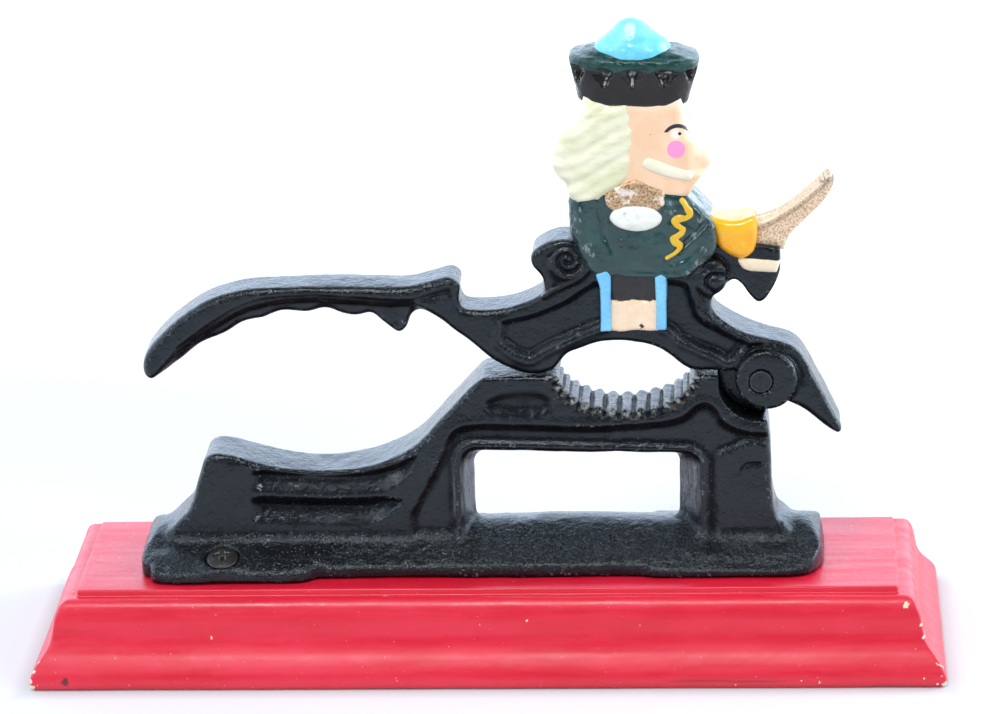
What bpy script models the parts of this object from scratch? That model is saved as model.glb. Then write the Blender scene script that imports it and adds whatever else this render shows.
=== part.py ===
"""Lever nutcracker on a moulded wooden board: a cast-iron anvil with a serrated jaw,
and a cast-iron lever with a toy-soldier figure cast in one with it, hinged on a pin.

Frame: origin at the centre of the board's underside, +X towards the hinge end,
-Y towards the front (the side that the figure's sword arm and the screw pad face),
+Z up. All dimensions below are in millimetres; MM turns them into metres.
"""

import math

import bmesh
import bpy
from mathutils import Matrix, Vector

MM = 0.001

# ---------------------------------------------------------------- driving dimensions
BOARD_LENGTH = 254.0
BOARD_DEPTH = 76.2
BOARD_HEIGHT = 25.0
PANEL_INSET = 12.9          # from the board's edge to its raised flat panel
GAP = 0.3                   # between pieces that touch

FOOT_BOTTOM = BOARD_HEIGHT + GAP
FOOT_HALF = 18.4            # half depth of the anvil's foot flange
FOOT_EDGE_TOP = 28.4        # top of the flange's thin edge
FOOT_CREST = 36.4           # height of the flange's crest at mid-depth
PAD_HALF = 22.0             # the screw pads, front left and rear right, reach further out
ANVIL_HALF = 8.5            # half thickness of the anvil's web
LAND = 81.0                 # height of the flat lands either side of the lower jaw

JAW_X = 39.5                # centre of the serrated jaw
JAW_HALF = 19.5
JAW_DEEP = 11.0
TEETH = 13
TOOTH_HIGH = 0.9

PIN_X, PIN_Z = 76.8, 79.2   # the hinge axis, parallel to Y
PIN_R = 3.15
PIN_BORE_R = 3.45
CHEEK_R = 8.6               # the lever's front cheek, 1.6 mm off the hinge axis
CHEEK_X, CHEEK_Z = 78.4, 79.5
POCKET_R = 11.7             # the anvil's round pocket that the cheek turns in
LUG_R = 8.6                 # the anvil's rear lug
LUG_POCKET_R = 9.3          # the lever's round pocket behind its cheek
LAP = 0.2                   # each half of the lap joint stops this far from mid-depth

LEVER_HALF = 7.0            # half thickness of the lever's arms
GRIP_WEB_HALF = 4.0         # half thickness of the finger side of the handle

SCREWS = {                  # centre of each wood screw
    "wood_screw_front": (-74.0, -16.0),
    "wood_screw_rear": (70.0, 16.0),
}
SCREW_SEAT = 30.2
SCREW_HEAD_R = 4.5
SCREW_SHANK_R = 1.9
SCREW_LENGTH = 17.0


# ---------------------------------------------------------------- scene and materials
for old in list(bpy.data.objects):
    bpy.data.objects.remove(old, do_unlink=True)

parts = bpy.data.collections.new("lever_nutcracker")
cutters = bpy.data.collections.new("cutters")
bpy.context.scene.collection.children.link(parts)
bpy.context.scene.collection.children.link(cutters)


def paint(name, colour, roughness, metallic=0.0):
    material = bpy.data.materials.new(name)
    material.use_nodes = True
    shader = material.node_tree.nodes["Principled BSDF"]
    shader.inputs["Base Color"].default_value = (*colour, 1.0)
    shader.inputs["Roughness"].default_value = roughness
    shader.inputs["Metallic"].default_value = metallic
    return material


RED_PAINT = paint("red_painted_wood", (0.80, 0.045, 0.075), 0.35)
BLACK_ANVIL = paint("black_enamel_anvil", (0.012, 0.014, 0.018), 0.3)
BLACK_LEVER = paint("black_enamel_lever", (0.014, 0.017, 0.020), 0.3)
PIN_STEEL = paint("pin_steel", (0.10, 0.10, 0.11), 0.4, 0.8)
SCREW_STEEL = paint("screw_steel", (0.12, 0.11, 0.10), 0.45, 0.9)
SCREW_STEEL_2 = paint("screw_steel_rear", (0.12, 0.11, 0.10), 0.45, 0.9)


# ---------------------------------------------------------------- shape helpers
def place(mesh, name, collection, material=None):
    obj = bpy.data.objects.new(name, mesh)
    collection.objects.link(obj)
    if collection is cutters:
        obj.hide_render = True
        obj.display_type = "WIRE"
    if material:
        mesh.materials.clear()
        mesh.materials.append(material)
    return obj


def smooth_path(points, step=3.0, closed=True):
    """Centripetal spline through the points. A point with a third value is a sharp corner."""
    n = len(points)
    spots = [Vector((p[0], p[1])) for p in points]
    sharp = [len(p) > 2 for p in points]
    out = []
    for i in range(n if closed else n - 1):
        p1, p2 = spots[i], spots[(i + 1) % n]
        p0 = spots[i - 1] if (closed or i > 0) and not sharp[i] else p1 * 2 - p2
        if sharp[i]:
            p0 = p1 * 2 - p2
        after = spots[(i + 2) % n]
        p3 = p2 * 2 - p1 if sharp[(i + 1) % n] else after
        t0 = 0.0
        t1 = t0 + max((p1 - p0).length, 1e-6) ** 0.5
        t2 = t1 + max((p2 - p1).length, 1e-6) ** 0.5
        t3 = t2 + max((p3 - p2).length, 1e-6) ** 0.5
        both = sharp[i] and sharp[(i + 1) % n]
        pieces = 1 if both else max(1, round((p2 - p1).length / step))
        for k in range(pieces):
            t = t1 + (t2 - t1) * k / pieces
            a1 = p0 * ((t1 - t) / (t1 - t0)) + p1 * ((t - t0) / (t1 - t0))
            a2 = p1 * ((t2 - t) / (t2 - t1)) + p2 * ((t - t1) / (t2 - t1))
            a3 = p2 * ((t3 - t) / (t3 - t2)) + p3 * ((t - t2) / (t3 - t2))
            b1 = a1 * ((t2 - t) / (t2 - t0)) + a2 * ((t - t0) / (t2 - t0))
            b2 = a2 * ((t3 - t) / (t3 - t1)) + a3 * ((t - t1) / (t3 - t1))
            c = b1 * ((t2 - t) / (t2 - t1)) + b2 * ((t - t1) / (t2 - t1))
            out.append((c.x, c.y))
    return out


def arc(cx, cz, radius, start, end, pieces):
    """Points on a circle from start to end, in degrees."""
    return [
        (
            cx + radius * math.cos(math.radians(start + (end - start) * k / pieces)),
            cz + radius * math.sin(math.radians(start + (end - start) * k / pieces)),
        )
        for k in range(pieces + 1)
    ]


def rounded_box(x0, z0, x1, z1, radius, pieces=3):
    loop = []
    for cx, cz, start in (
        (x1 - radius, z0 + radius, -90),
        (x1 - radius, z1 - radius, 0),
        (x0 + radius, z1 - radius, 90),
        (x0 + radius, z0 + radius, 180),
    ):
        loop += arc(cx, cz, radius, start, start + 90, pieces)
    return loop


UPRIGHT = Matrix.Rotation(math.radians(90), 4, "X")      # drawing plane XY -> XZ
ENDWISE = Matrix.Rotation(math.radians(90), 4, "Z") @ UPRIGHT   # drawing plane XY -> YZ


def slab(name, loops, low, high, chamfer=0.0, turn=UPRIGHT, material=None, collection=None):
    """A flat outline with holes, extruded from low to high across its drawing plane.

    Upright slabs run from Y=low to Y=high, endwise ones from X=low to X=high,
    and with turn=None the slab is drawn in plan and runs from Z=low to Z=high.
    """
    curve = bpy.data.curves.new(name, "CURVE")
    curve.dimensions = "2D"
    curve.fill_mode = "BOTH"
    curve.extrude = ((high - low) / 2 - chamfer) * MM
    curve.bevel_depth = chamfer * MM
    curve.bevel_resolution = 0
    curve.offset = -chamfer * MM
    for loop in loops:
        spline = curve.splines.new("POLY")
        spline.points.add(len(loop) - 1)
        for point, (x, y) in zip(spline.points, loop):
            point.co = (x * MM, y * MM, 0.0, 1.0)
        spline.use_cyclic_u = True
    drawn = bpy.data.objects.new(name + "_outline", curve)
    cutters.objects.link(drawn)
    middle = (low + high) / 2 * MM
    if turn is UPRIGHT:
        drawn.matrix_world = Matrix.Translation((0, middle, 0)) @ UPRIGHT
    elif turn is ENDWISE:
        drawn.matrix_world = Matrix.Translation((middle, 0, 0)) @ ENDWISE
    else:
        drawn.matrix_world = Matrix.Translation((0, 0, middle))
    bpy.context.view_layer.update()
    graph = bpy.context.evaluated_depsgraph_get()
    mesh = bpy.data.meshes.new_from_object(drawn.evaluated_get(graph))
    mesh.transform(drawn.matrix_world)
    bpy.data.objects.remove(drawn, do_unlink=True)
    tidy(mesh)
    return place(mesh, name, collection or cutters, material)


def tidy(mesh):
    bm = bmesh.new()
    bm.from_mesh(mesh)
    bmesh.ops.remove_doubles(bm, verts=bm.verts, dist=0.000005)
    bmesh.ops.recalc_face_normals(bm, faces=bm.faces)
    bm.to_mesh(mesh)
    bm.free()


def rod(name, centre, axis, radius, length, sides=32, radius2=None, collection=None, material=None):
    """A cylinder or cone from centre, running length along axis ('Y' or 'Z')."""
    mesh = bpy.data.meshes.new(name)
    bm = bmesh.new()
    bmesh.ops.create_cone(
        bm, cap_ends=True, segments=sides,
        radius1=radius * MM, radius2=(radius if radius2 is None else radius2) * MM,
        depth=length * MM,
    )
    bmesh.ops.translate(bm, verts=bm.verts, vec=(0, 0, length / 2 * MM))
    if axis == "Y":
        bmesh.ops.rotate(bm, verts=bm.verts, matrix=Matrix.Rotation(math.radians(-90), 3, "X"))
    bmesh.ops.translate(bm, verts=bm.verts, vec=Vector(centre) * MM)
    bm.to_mesh(mesh)
    bm.free()
    return place(mesh, name, collection or cutters, material)


def ball(name, centre, size, tilt=0.0, across=20, rings=12):
    """An ellipsoid with half axes size, tilted about Y by tilt degrees."""
    mesh = bpy.data.meshes.new(name)
    bm = bmesh.new()
    bmesh.ops.create_uvsphere(bm, u_segments=across, v_segments=rings, radius=1.0)
    bmesh.ops.scale(bm, verts=bm.verts, vec=Vector(size) * MM)
    bmesh.ops.rotate(bm, verts=bm.verts, matrix=Matrix.Rotation(math.radians(tilt), 3, "Y"))
    bmesh.ops.translate(bm, verts=bm.verts, vec=Vector(centre) * MM)
    bm.to_mesh(mesh)
    bm.free()
    return place(mesh, name, cutters)


def oval_drum(name, centre, bottom, top, height, sides=28):
    """An elliptical frustum: bottom and top are (half x, half y)."""
    mesh = bpy.data.meshes.new(name)
    bm = bmesh.new()
    bmesh.ops.create_cone(bm, cap_ends=True, segments=sides, radius1=1.0, radius2=1.0, depth=height * MM)
    for vert in bm.verts:
        half = top if vert.co.z > 0 else bottom
        vert.co.x *= half[0] * MM
        vert.co.y *= half[1] * MM
    bmesh.ops.translate(bm, verts=bm.verts, vec=Vector(centre) * MM)
    bm.to_mesh(mesh)
    bm.free()
    return place(mesh, name, cutters)


def combine(obj, operation, *others):
    for other in others:
        modifier = obj.modifiers.new(other.name, "BOOLEAN")
        modifier.operation = operation
        modifier.solver = "EXACT"
        modifier.object = other
    return obj


def put_origin(obj, x, y, z):
    """Moves the object's origin without moving its shape."""
    offset = Vector((x, y, z)) * MM
    obj.data.transform(Matrix.Translation(-offset))
    obj.location = offset


# ---------------------------------------------------------------- wooden board
# The edge moulding, as (inset from the board's edge, height), from the bottom up:
# a small bead, a cove, a near-vertical band, a rounded shoulder, a ledge and a step.
MOULDING = [
    (1.4, 0.0), (0.5, 1.1), (0.0, 3.0), (0.4, 5.0), (1.5, 6.8), (3.1, 8.3),
    (4.7, 9.8), (5.9, 11.9), (6.5, 14.4), (6.7, 17.2), (7.4, 19.9), (8.3, 21.9),
    (9.6, 23.1), (11.0, 23.4), (PANEL_INSET, 23.4), (PANEL_INSET, BOARD_HEIGHT),
]


def board_section(half):
    right = [(half - inset, height) for inset, height in MOULDING]
    return right + [(-x, z) for x, z in reversed(right)]


wood_base = slab(
    "wood_base", [board_section(BOARD_LENGTH / 2)], -BOARD_DEPTH, BOARD_DEPTH,
    material=RED_PAINT, collection=parts,
)
board_sides = slab(
    "board_sides", [board_section(BOARD_DEPTH / 2)], -BOARD_LENGTH, BOARD_LENGTH, turn=ENDWISE
)
combine(wood_base, "INTERSECT", board_sides)
for name, (x, y) in SCREWS.items():
    combine(
        wood_base, "DIFFERENCE",
        rod(name + "_pilot", (x, y, SCREW_SEAT - SCREW_LENGTH - 1.0), "Z", SCREW_SHANK_R + GAP, 20.0, 16),
    )

# ---------------------------------------------------------------- anvil casting
# The lower jaw: half an ellipse cut by teeth that run straight across the casting.


def jaw_points():
    out = []
    steps = TEETH * 4
    for k in range(1, steps):
        turn = math.pi * k / steps
        x = JAW_X - JAW_HALF * math.cos(turn)
        z = LAND - JAW_DEEP * math.sin(turn)
        rise = TOOTH_HIGH * (0.5 - 0.5 * math.cos(2 * math.pi * TEETH * k / steps))
        # the crest of each tooth stands in from the ellipse, towards its centre
        towards = Vector((JAW_X - x, LAND + 6.0 - z)).normalized() * rise
        out.append((x + towards.x, z + towards.y))
    return out


ANVIL_TOP = [                # from the rear heel, along the finger rest, up the ramp
    (-90.6, 27.0, 1), (-90.2, 34.6), (-86.6, 38.9), (-84.0, 41.7), (-82.2, 45.6), (-80.0, 53.0),
    (-78.3, 57.2),
    (-76.2, 58.4), (-72.0, 58.2), (-67.0, 56.8), (-60.0, 54.7), (-52.0, 53.3),
    (-44.0, 52.9), (-35.0, 54.0), (-27.0, 56.4), (-19.2, 61.0), (-10.2, 70.7),
    (-1.4, 79.9), (0.4, LAND, 1), (JAW_X - JAW_HALF, LAND, 1),
]
ANVIL_RIGHT = [              # from the rear lug down the hinge column to the flange
    (78.0, 68.5, 1), (78.8, 65.8), (79.3, 60.0), (79.6, 51.0), (80.0, 43.4), (81.3, 38.4),
    (83.8, 36.0), (85.6, 27.0, 1),
]
lug_right = math.degrees(math.asin((77.4 - PIN_X) / LUG_R)) - 90.0
anvil_outline = (
    smooth_path(ANVIL_TOP, step=4.0, closed=False)
    + [(JAW_X - JAW_HALF, LAND)]
    + jaw_points()
    + [(JAW_X + JAW_HALF, LAND), (63.5, 80.7), (66.0, 80.4)]
    + arc(PIN_X, PIN_Z, LUG_R, 172.0, lug_right, 22)
    + smooth_path(ANVIL_RIGHT, step=4.0, closed=False)
    + [(85.6, 27.0)]
)
window = rounded_box(-3.6, 31.0, 53.6, 58.1, 3.4)
anvil_casting = slab(
    "anvil_casting", [anvil_outline, window], -ANVIL_HALF, ANVIL_HALF, 1.1,
    material=BLACK_ANVIL, collection=parts,
)


def flange_section(half):
    right = [(half - 0.5, FOOT_BOTTOM), (half, FOOT_BOTTOM + 0.6), (half, FOOT_EDGE_TOP - 0.7),
             (half - 0.9, FOOT_EDGE_TOP + 0.1), (8.5, 34.2), (4.5, 35.7)]
    return right + [(0.0, FOOT_CREST)] + [(-x, z) for x, z in reversed(right)]


flange_plan = smooth_path([
    (-97.6, -12.0), (-96.6, -16.2), (-92.0, -18.6), (-80.0, -18.9), (0.0, -18.2, 1), (84.0, -18.8, 1),
    (90.0, -17.4), (93.4, -11.0), (93.9, 0.0), (92.9, 11.5), (88.6, 17.6), (80.0, 18.9, 1),
    (-86.0, 18.9, 1), (-93.0, 17.0), (-96.8, 11.0), (-97.9, 0.0),
], step=4.0)
flange_profile = smooth_path([
    (-98.5, 25.0, 1), (94.4, 25.0, 1), (94.2, 28.6), (92.6, 33.2), (89.4, 35.8), (84.0, 37.0, 1),
    (-87.0, 38.0, 1), (-92.2, 35.6), (-96.2, 32.2), (-98.1, 28.6),
], step=3.0)
flange = slab("foot_flange", [flange_section(FOOT_HALF)], -100.0, 100.0, turn=ENDWISE)
combine(
    flange, "INTERSECT",
    slab("flange_plan", [flange_plan], 20.0, 45.0, turn=None),
    slab("flange_profile", [flange_profile], -30.0, 30.0),
)
pad = slab("screw_pad", [flange_section(PAD_HALF)], -94.6, -48.0, turn=ENDWISE)
combine(
    pad, "INTERSECT",
    slab("pad_plan", [smooth_path([
        (-94.4, -17.0), (-92.8, -21.2), (-88.0, -22.4), (-54.0, -22.0), (-49.6, -20.6), (-46.8, -17.6),
        (-46.5, 0.0, 1), (-94.4, 0.0, 1)], step=3.0)], 20.0, 45.0, turn=None),
)
rear_pad = slab("rear_screw_pad", [flange_section(PAD_HALF)], 46.6, 86.4, turn=ENDWISE)
combine(
    rear_pad, "INTERSECT",
    slab("rear_pad_plan", [smooth_path([
        (86.2, 17.6), (84.4, 21.4), (80.0, 22.4), (55.0, 22.2), (50.2, 20.9), (46.8, 17.8),
        (46.5, 0.6, 1), (86.2, 0.6, 1)], step=3.0)], 20.0, 45.0, turn=None),
)
combine(anvil_casting, "UNION", flange, pad, rear_pad)
# Half-lap at the hinge: the front half of the casting is a round pocket.
combine(
    anvil_casting, "DIFFERENCE",
    rod("front_pocket", (PIN_X, -12.0, PIN_Z), "Y", POCKET_R, 12.0 + LAP, 48),
    rod("lug_bore", (PIN_X, -12.0, PIN_Z), "Y", PIN_BORE_R, 24.0, 32),
)
for name, (x, y) in SCREWS.items():
    combine(
        anvil_casting, "DIFFERENCE",
        rod(name + "_hole", (x, y, 20.0), "Z", SCREW_SHANK_R + 0.4, 20.0, 16),
        rod(name + "_seat", (x, y, SCREW_SEAT), "Z", SCREW_HEAD_R + 0.4, 12.0, 28),
    )

# ---------------------------------------------------------------- lever casting
LEVER_OUTLINE = [
    # handle tip and the top of its rail, to the raised knuckle
    (-92.6, 80.2), (-94.4, 81.6), (-94.2, 86.6), (-89.6, 93.2), (-82.2, 99.6), (-75.0, 103.8),
    (-66.5, 106.3), (-56.0, 107.0), (-45.0, 107.1), (-32.0, 106.9), (-20.0, 106.8), (-13.3, 108.3),
    (-8.2, 109.5), (-5.7, 107.6), (-6.0, 103.4), (-4.8, 100.5), (0.0, 99.9), (5.0, 100.2),
    (10.0, 101.3), (15.0, 103.4), (17.6, 105.3, 1),
    # the left scroll, then inside the coat
    (17.0, 109.2), (14.4, 113.0), (14.5, 116.2), (17.8, 118.8), (23.0, 120.2), (30.0, 118.0, 1),
    (58.0, 116.0, 1),
    # the right scroll
    (62.0, 115.2), (66.4, 113.6), (67.4, 111.0), (66.2, 107.4), (63.8, 103.4), (63.6, 100.0),
    # the back of the right arm, over the hinge and down to the tail
    (66.0, 96.9), (71.0, 93.6), (78.0, 91.0), (84.2, 89.2), (87.2, 87.2), (89.6, 83.6),
    (93.4, 76.2), (97.3, 68.0), (98.9, 64.4), (98.3, 63.0),
    (87.2, 70.9, 1),
]
LEVER_UNDER = [              # from the cheek along the arch, the lobe and the rail's underside
    (66.0, 81.6, 1), (62.0, 81.9), (57.6, 82.2), (54.6, 84.2), (51.6, 86.8), (48.2, 88.9), (43.5, 90.2),
    (38.0, 90.6), (32.6, 90.1), (27.6, 88.5), (23.4, 86.8), (21.6, 84.6), (19.6, 82.4), (16.2, 81.4),
    (12.4, 81.4), (8.2, 82.8), (3.0, 85.7), (-5.6, 92.9), (-12.5, 98.2), (-19.0, 101.9), (-26.0, 101.8),
    (-38.0, 102.8), (-51.0, 103.3), (-64.0, 101.0), (-74.0, 95.8), (-84.6, 88.0), (-91.0, 81.2),
]
cheek_edge = arc(CHEEK_X, CHEEK_Z, CHEEK_R - 0.2, -52.0, -196.0, 14)
lever_loop = (
    smooth_path(LEVER_OUTLINE + LEVER_UNDER, step=3.6)
)
# splice the rim of the cheek in between the tail's root and the arch
root = min(range(len(lever_loop)), key=lambda k: (lever_loop[k][0] - 87.2) ** 2 + (lever_loop[k][1] - 70.9) ** 2)
lever_loop = lever_loop[: root + 1] + cheek_edge + lever_loop[root + 1:]
lever_casting = slab(
    "lever_casting", [lever_loop], -LEVER_HALF, LEVER_HALF, 1.1,
    material=BLACK_LEVER, collection=parts,
)
finger_side = slab("finger_side", [smooth_path([
    (-92.0, 81.4), (-85.2, 84.6), (-78.2, 90.0), (-71.6, 92.8), (-66.4, 96.0), (-60.6, 97.4),
    (-55.2, 99.3), (-48.0, 98.9), (-43.4, 100.0), (-38.5, 98.5), (-35.0, 97.8), (-30.4, 98.4),
    (-26.7, 95.4), (-23.0, 92.8), (-21.2, 94.0), (-19.4, 98.0), (-17.2, 99.0), (-12.0, 99.0, 1),
    (-12.0, 105.0, 1), (-50.0, 105.6), (-64.0, 103.6), (-74.0, 99.6), (-84.0, 92.4), (-92.5, 84.0),
], step=3.0)], -GRIP_WEB_HALF, GRIP_WEB_HALF, 0.8)
cheek = slab("cheek", [arc(CHEEK_X, CHEEK_Z, CHEEK_R, 0.0, 348.75, 31)], -8.6, -0.5, 0.8)
scroll_left = rod("scroll_left", (24.4, -8.4, 114.8), "Y", 5.5, 16.8, 24)
scroll_right = rod("scroll_right", (63.4, -8.4, 109.0), "Y", 4.9, 16.8, 20)
# The figure: coat, legs, head, hair, hat, pompom, arm, hand and sword.
coat = slab("coat", [smooth_path([
    (25.4, 131.0), (25.1, 121.0), (26.4, 110.0, 1), (57.0, 109.0, 1), (63.4, 113.6), (65.0, 117.6),
    (64.4, 122.6), (61.0, 127.0), (57.0, 131.0), (45.0, 134.0), (32.0, 134.0),
], step=4.0)], -9.5, 9.5, 3.0)
legs = slab("legs", [[(32.4, 94.2), (51.2, 94.2), (51.2, 112.5), (32.4, 112.5)]], -8.4, 8.4, 0.8)
head = slab("head", [smooth_path([
    (28.5, 161.0, 1), (26.0, 155.0), (21.2, 149.0), (20.4, 142.0), (23.4, 136.4), (26.6, 131.4),
    (33.0, 129.6), (42.0, 132.0), (48.0, 132.6), (53.6, 131.6), (57.0, 133.2), (60.6, 138.6),
    (62.6, 141.4), (61.0, 144.2), (58.8, 148.2), (56.2, 153.0), (55.0, 161.0, 1),
], step=3.2)], -9.5, 9.5, 3.2)
hat = oval_drum("hat", (0.0, 0.0, 0.0), (15.0, 8.4), (17.9, 10.2), 12.0)
hat.data.transform(Matrix.Translation(Vector((43.2, 0.0, 165.0)) * MM) @ Matrix.Rotation(math.radians(2.0), 4, "Y"))
hat_crown = ball("hat_crown", (43.6, 0.0, 170.4), (17.2, 9.6, 3.4), 2.0, 24, 10)
pompom = ball("pompom", (42.9, 0.0, 174.6), (9.6, 7.4, 6.9), 0.0, 20, 12)
cuff = slab("cuff", [smooth_path([
    (62.0, 124.6), (69.0, 123.7), (75.7, 124.4, 1), (76.2, 120.0), (75.4, 116.4, 1), (72.8, 115.0),
    (69.4, 114.8), (65.4, 116.6), (61.5, 119.0)], step=3.0)], -6.0, 6.0, 2.2)
sword = slab("sword", [smooth_path([
    (74.0, 124.0, 1), (79.0, 125.6), (85.0, 129.0), (91.0, 133.8), (95.4, 136.8), (97.0, 135.2),
    (96.4, 131.8), (92.6, 126.2), (84.8, 119.2), (83.0, 115.8, 1), (74.0, 115.8, 1),
], step=4.0)], -3.5, 3.5, 1.3)
hilt = slab("hilt", [smooth_path([
    (75.2, 117.0, 1), (82.6, 117.0, 1), (82.2, 110.0), (80.2, 105.4), (77.4, 101.4), (76.0, 101.0),
    (73.6, 103.6), (71.8, 106.6), (69.6, 107.6), (66.6, 105.8, 1), (63.0, 110.0, 1), (68.0, 116.0, 1),
], step=3.0)], -4.8, 4.8, 0.9)
combine(
    lever_casting, "UNION", finger_side, scroll_left, scroll_right, coat, legs,
    head, hat, hat_crown, pompom, cuff, sword, hilt,
)
# The other half of the lap: the lever is hollowed behind its cheek for the anvil's lug.
lap_space = slab("lap_space", [
    [(62.0, 60.0), (80.5, 60.0), (80.5, 79.0), (69.0, 81.0), (62.0, 81.0)],
], -LAP, 12.0)
combine(
    lever_casting, "DIFFERENCE",
    rod("lug_pocket", (PIN_X, -LAP, PIN_Z), "Y", LUG_POCKET_R, 14.0, 40),
    lap_space,
)
combine(lever_casting, "UNION", cheek)
combine(
    lever_casting, "DIFFERENCE",
    slab("behind_cheek", [arc(PIN_X, PIN_Z, LUG_POCKET_R, 0.0, 348.75, 31)], -LAP, 12.0),
    rod("cheek_bore", (PIN_X, -12.0, PIN_Z), "Y", PIN_BORE_R, 24.0, 32),
)

# ---------------------------------------------------------------- hinge pin
pivot_pin = rod(
    "pivot_pin", (PIN_X, -8.9, PIN_Z), "Y", PIN_R, 17.8, 32, collection=parts, material=PIN_STEEL
)
edge = pivot_pin.modifiers.new("edge", "BEVEL")
edge.width = 0.4 * MM
edge.segments = 1
edge.limit_method = "ANGLE"

# ---------------------------------------------------------------- wood screws


def screw_profile():
    """Half section of a domed-head wood screw, outer side from top to bottom."""
    points = [(0.0, 2.3)]
    points += [
        (SCREW_HEAD_R * math.sin(math.radians(a)), 0.5 + 1.8 * math.cos(math.radians(a)))
        for a in (22, 45, 66, 84)
    ]
    points += [(SCREW_HEAD_R, 0.25), (SCREW_HEAD_R, 0.0), (SCREW_SHANK_R, 0.0)]
    pitch = 1.6
    turns = 6
    start = -SCREW_LENGTH + 3.0 + turns * pitch
    points.append((SCREW_SHANK_R, start - 0.5))
    for k in range(turns):
        top = start - 0.5 - k * pitch
        points += [(SCREW_SHANK_R - 0.45, top - 0.55), (SCREW_SHANK_R - 0.05, top - 1.1)]
    points += [(SCREW_SHANK_R - 0.6, -SCREW_LENGTH + 2.2), (0.0, -SCREW_LENGTH)]
    return points


def wood_screw(name, x, y, material):
    mesh = bpy.data.meshes.new(name)
    bm = bmesh.new()
    verts = [bm.verts.new((px * MM, 0, pz * MM)) for px, pz in screw_profile()]
    for a, b in zip(verts, verts[1:]):
        bm.edges.new((a, b))
    bm.to_mesh(mesh)
    bm.free()
    obj = place(mesh, name, parts, material)
    spin = obj.modifiers.new("turned", "SCREW")
    spin.axis = "Z"
    spin.steps = 24
    spin.render_steps = 24
    spin.use_merge_vertices = True
    spin.merge_threshold = 0.00001
    obj.location = (x * MM, y * MM, (SCREW_SEAT + GAP) * MM)
    # the cross recess in the head
    for turn in (0, 90):
        blade = bpy.data.meshes.new(name + "_slot")
        cut = bmesh.new()
        bmesh.ops.create_cube(cut, size=1.0)
        bmesh.ops.scale(cut, verts=cut.verts, vec=(4.8 * MM, 0.9 * MM, 2.4 * MM))
        bmesh.ops.rotate(cut, verts=cut.verts, matrix=Matrix.Rotation(math.radians(turn + 8), 3, "Z"))
        bmesh.ops.translate(cut, verts=cut.verts, vec=(x * MM, y * MM, (SCREW_SEAT + GAP + 2.4) * MM))
        cut.to_mesh(blade)
        cut.free()
        combine(obj, "DIFFERENCE", place(blade, f"{name}_slot_{turn}", cutters))
    return obj


for (name, (x, y)), steel in zip(SCREWS.items(), (SCREW_STEEL, SCREW_STEEL_2)):
    wood_screw(name, x, y, steel)

# ---------------------------------------------------------------- what moves
# The lever and the pin turn together about the hinge axis.
hinge = bpy.data.objects.new("hinge_axis", None)
hinge.location = (PIN_X * MM, 0.0, PIN_Z * MM)
parts.objects.link(hinge)
bpy.context.view_layer.update()
for moving in (lever_casting, pivot_pin):
    put_origin(moving, PIN_X, 0.0, PIN_Z)
    bpy.context.view_layer.update()
    moving.parent = hinge
    moving.matrix_parent_inverse = hinge.matrix_world.inverted()

for obj in (lever_casting, anvil_casting, pivot_pin, wood_base):
    obj.data.shade_smooth()
    obj.data.set_sharp_from_angle(angle=math.radians(35))
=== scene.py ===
"""Looks of the lever nutcracker: two black-enamelled castings with relief, a painted toy
soldier on the lever, a moulded red board, its screws and the hinge rivet.

Every shape is drawn in millimetres in the row frame and turned into metres at the end.
"""

import math

import bpy
import numpy as np
from mathutils import Matrix, Vector


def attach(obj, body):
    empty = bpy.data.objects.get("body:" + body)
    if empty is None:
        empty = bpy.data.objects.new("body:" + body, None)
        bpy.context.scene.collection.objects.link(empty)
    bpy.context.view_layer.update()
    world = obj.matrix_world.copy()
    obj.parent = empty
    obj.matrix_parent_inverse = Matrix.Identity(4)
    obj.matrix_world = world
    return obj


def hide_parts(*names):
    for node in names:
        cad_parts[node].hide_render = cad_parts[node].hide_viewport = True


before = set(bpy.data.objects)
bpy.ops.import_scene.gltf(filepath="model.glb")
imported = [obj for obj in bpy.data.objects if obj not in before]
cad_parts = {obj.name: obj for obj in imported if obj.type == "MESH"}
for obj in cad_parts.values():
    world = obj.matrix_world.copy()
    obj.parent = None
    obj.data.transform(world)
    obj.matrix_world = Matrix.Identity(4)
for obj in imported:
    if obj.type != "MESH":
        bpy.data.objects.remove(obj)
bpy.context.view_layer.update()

MM = 0.001
PIN = (76.8, 79.2)


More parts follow.
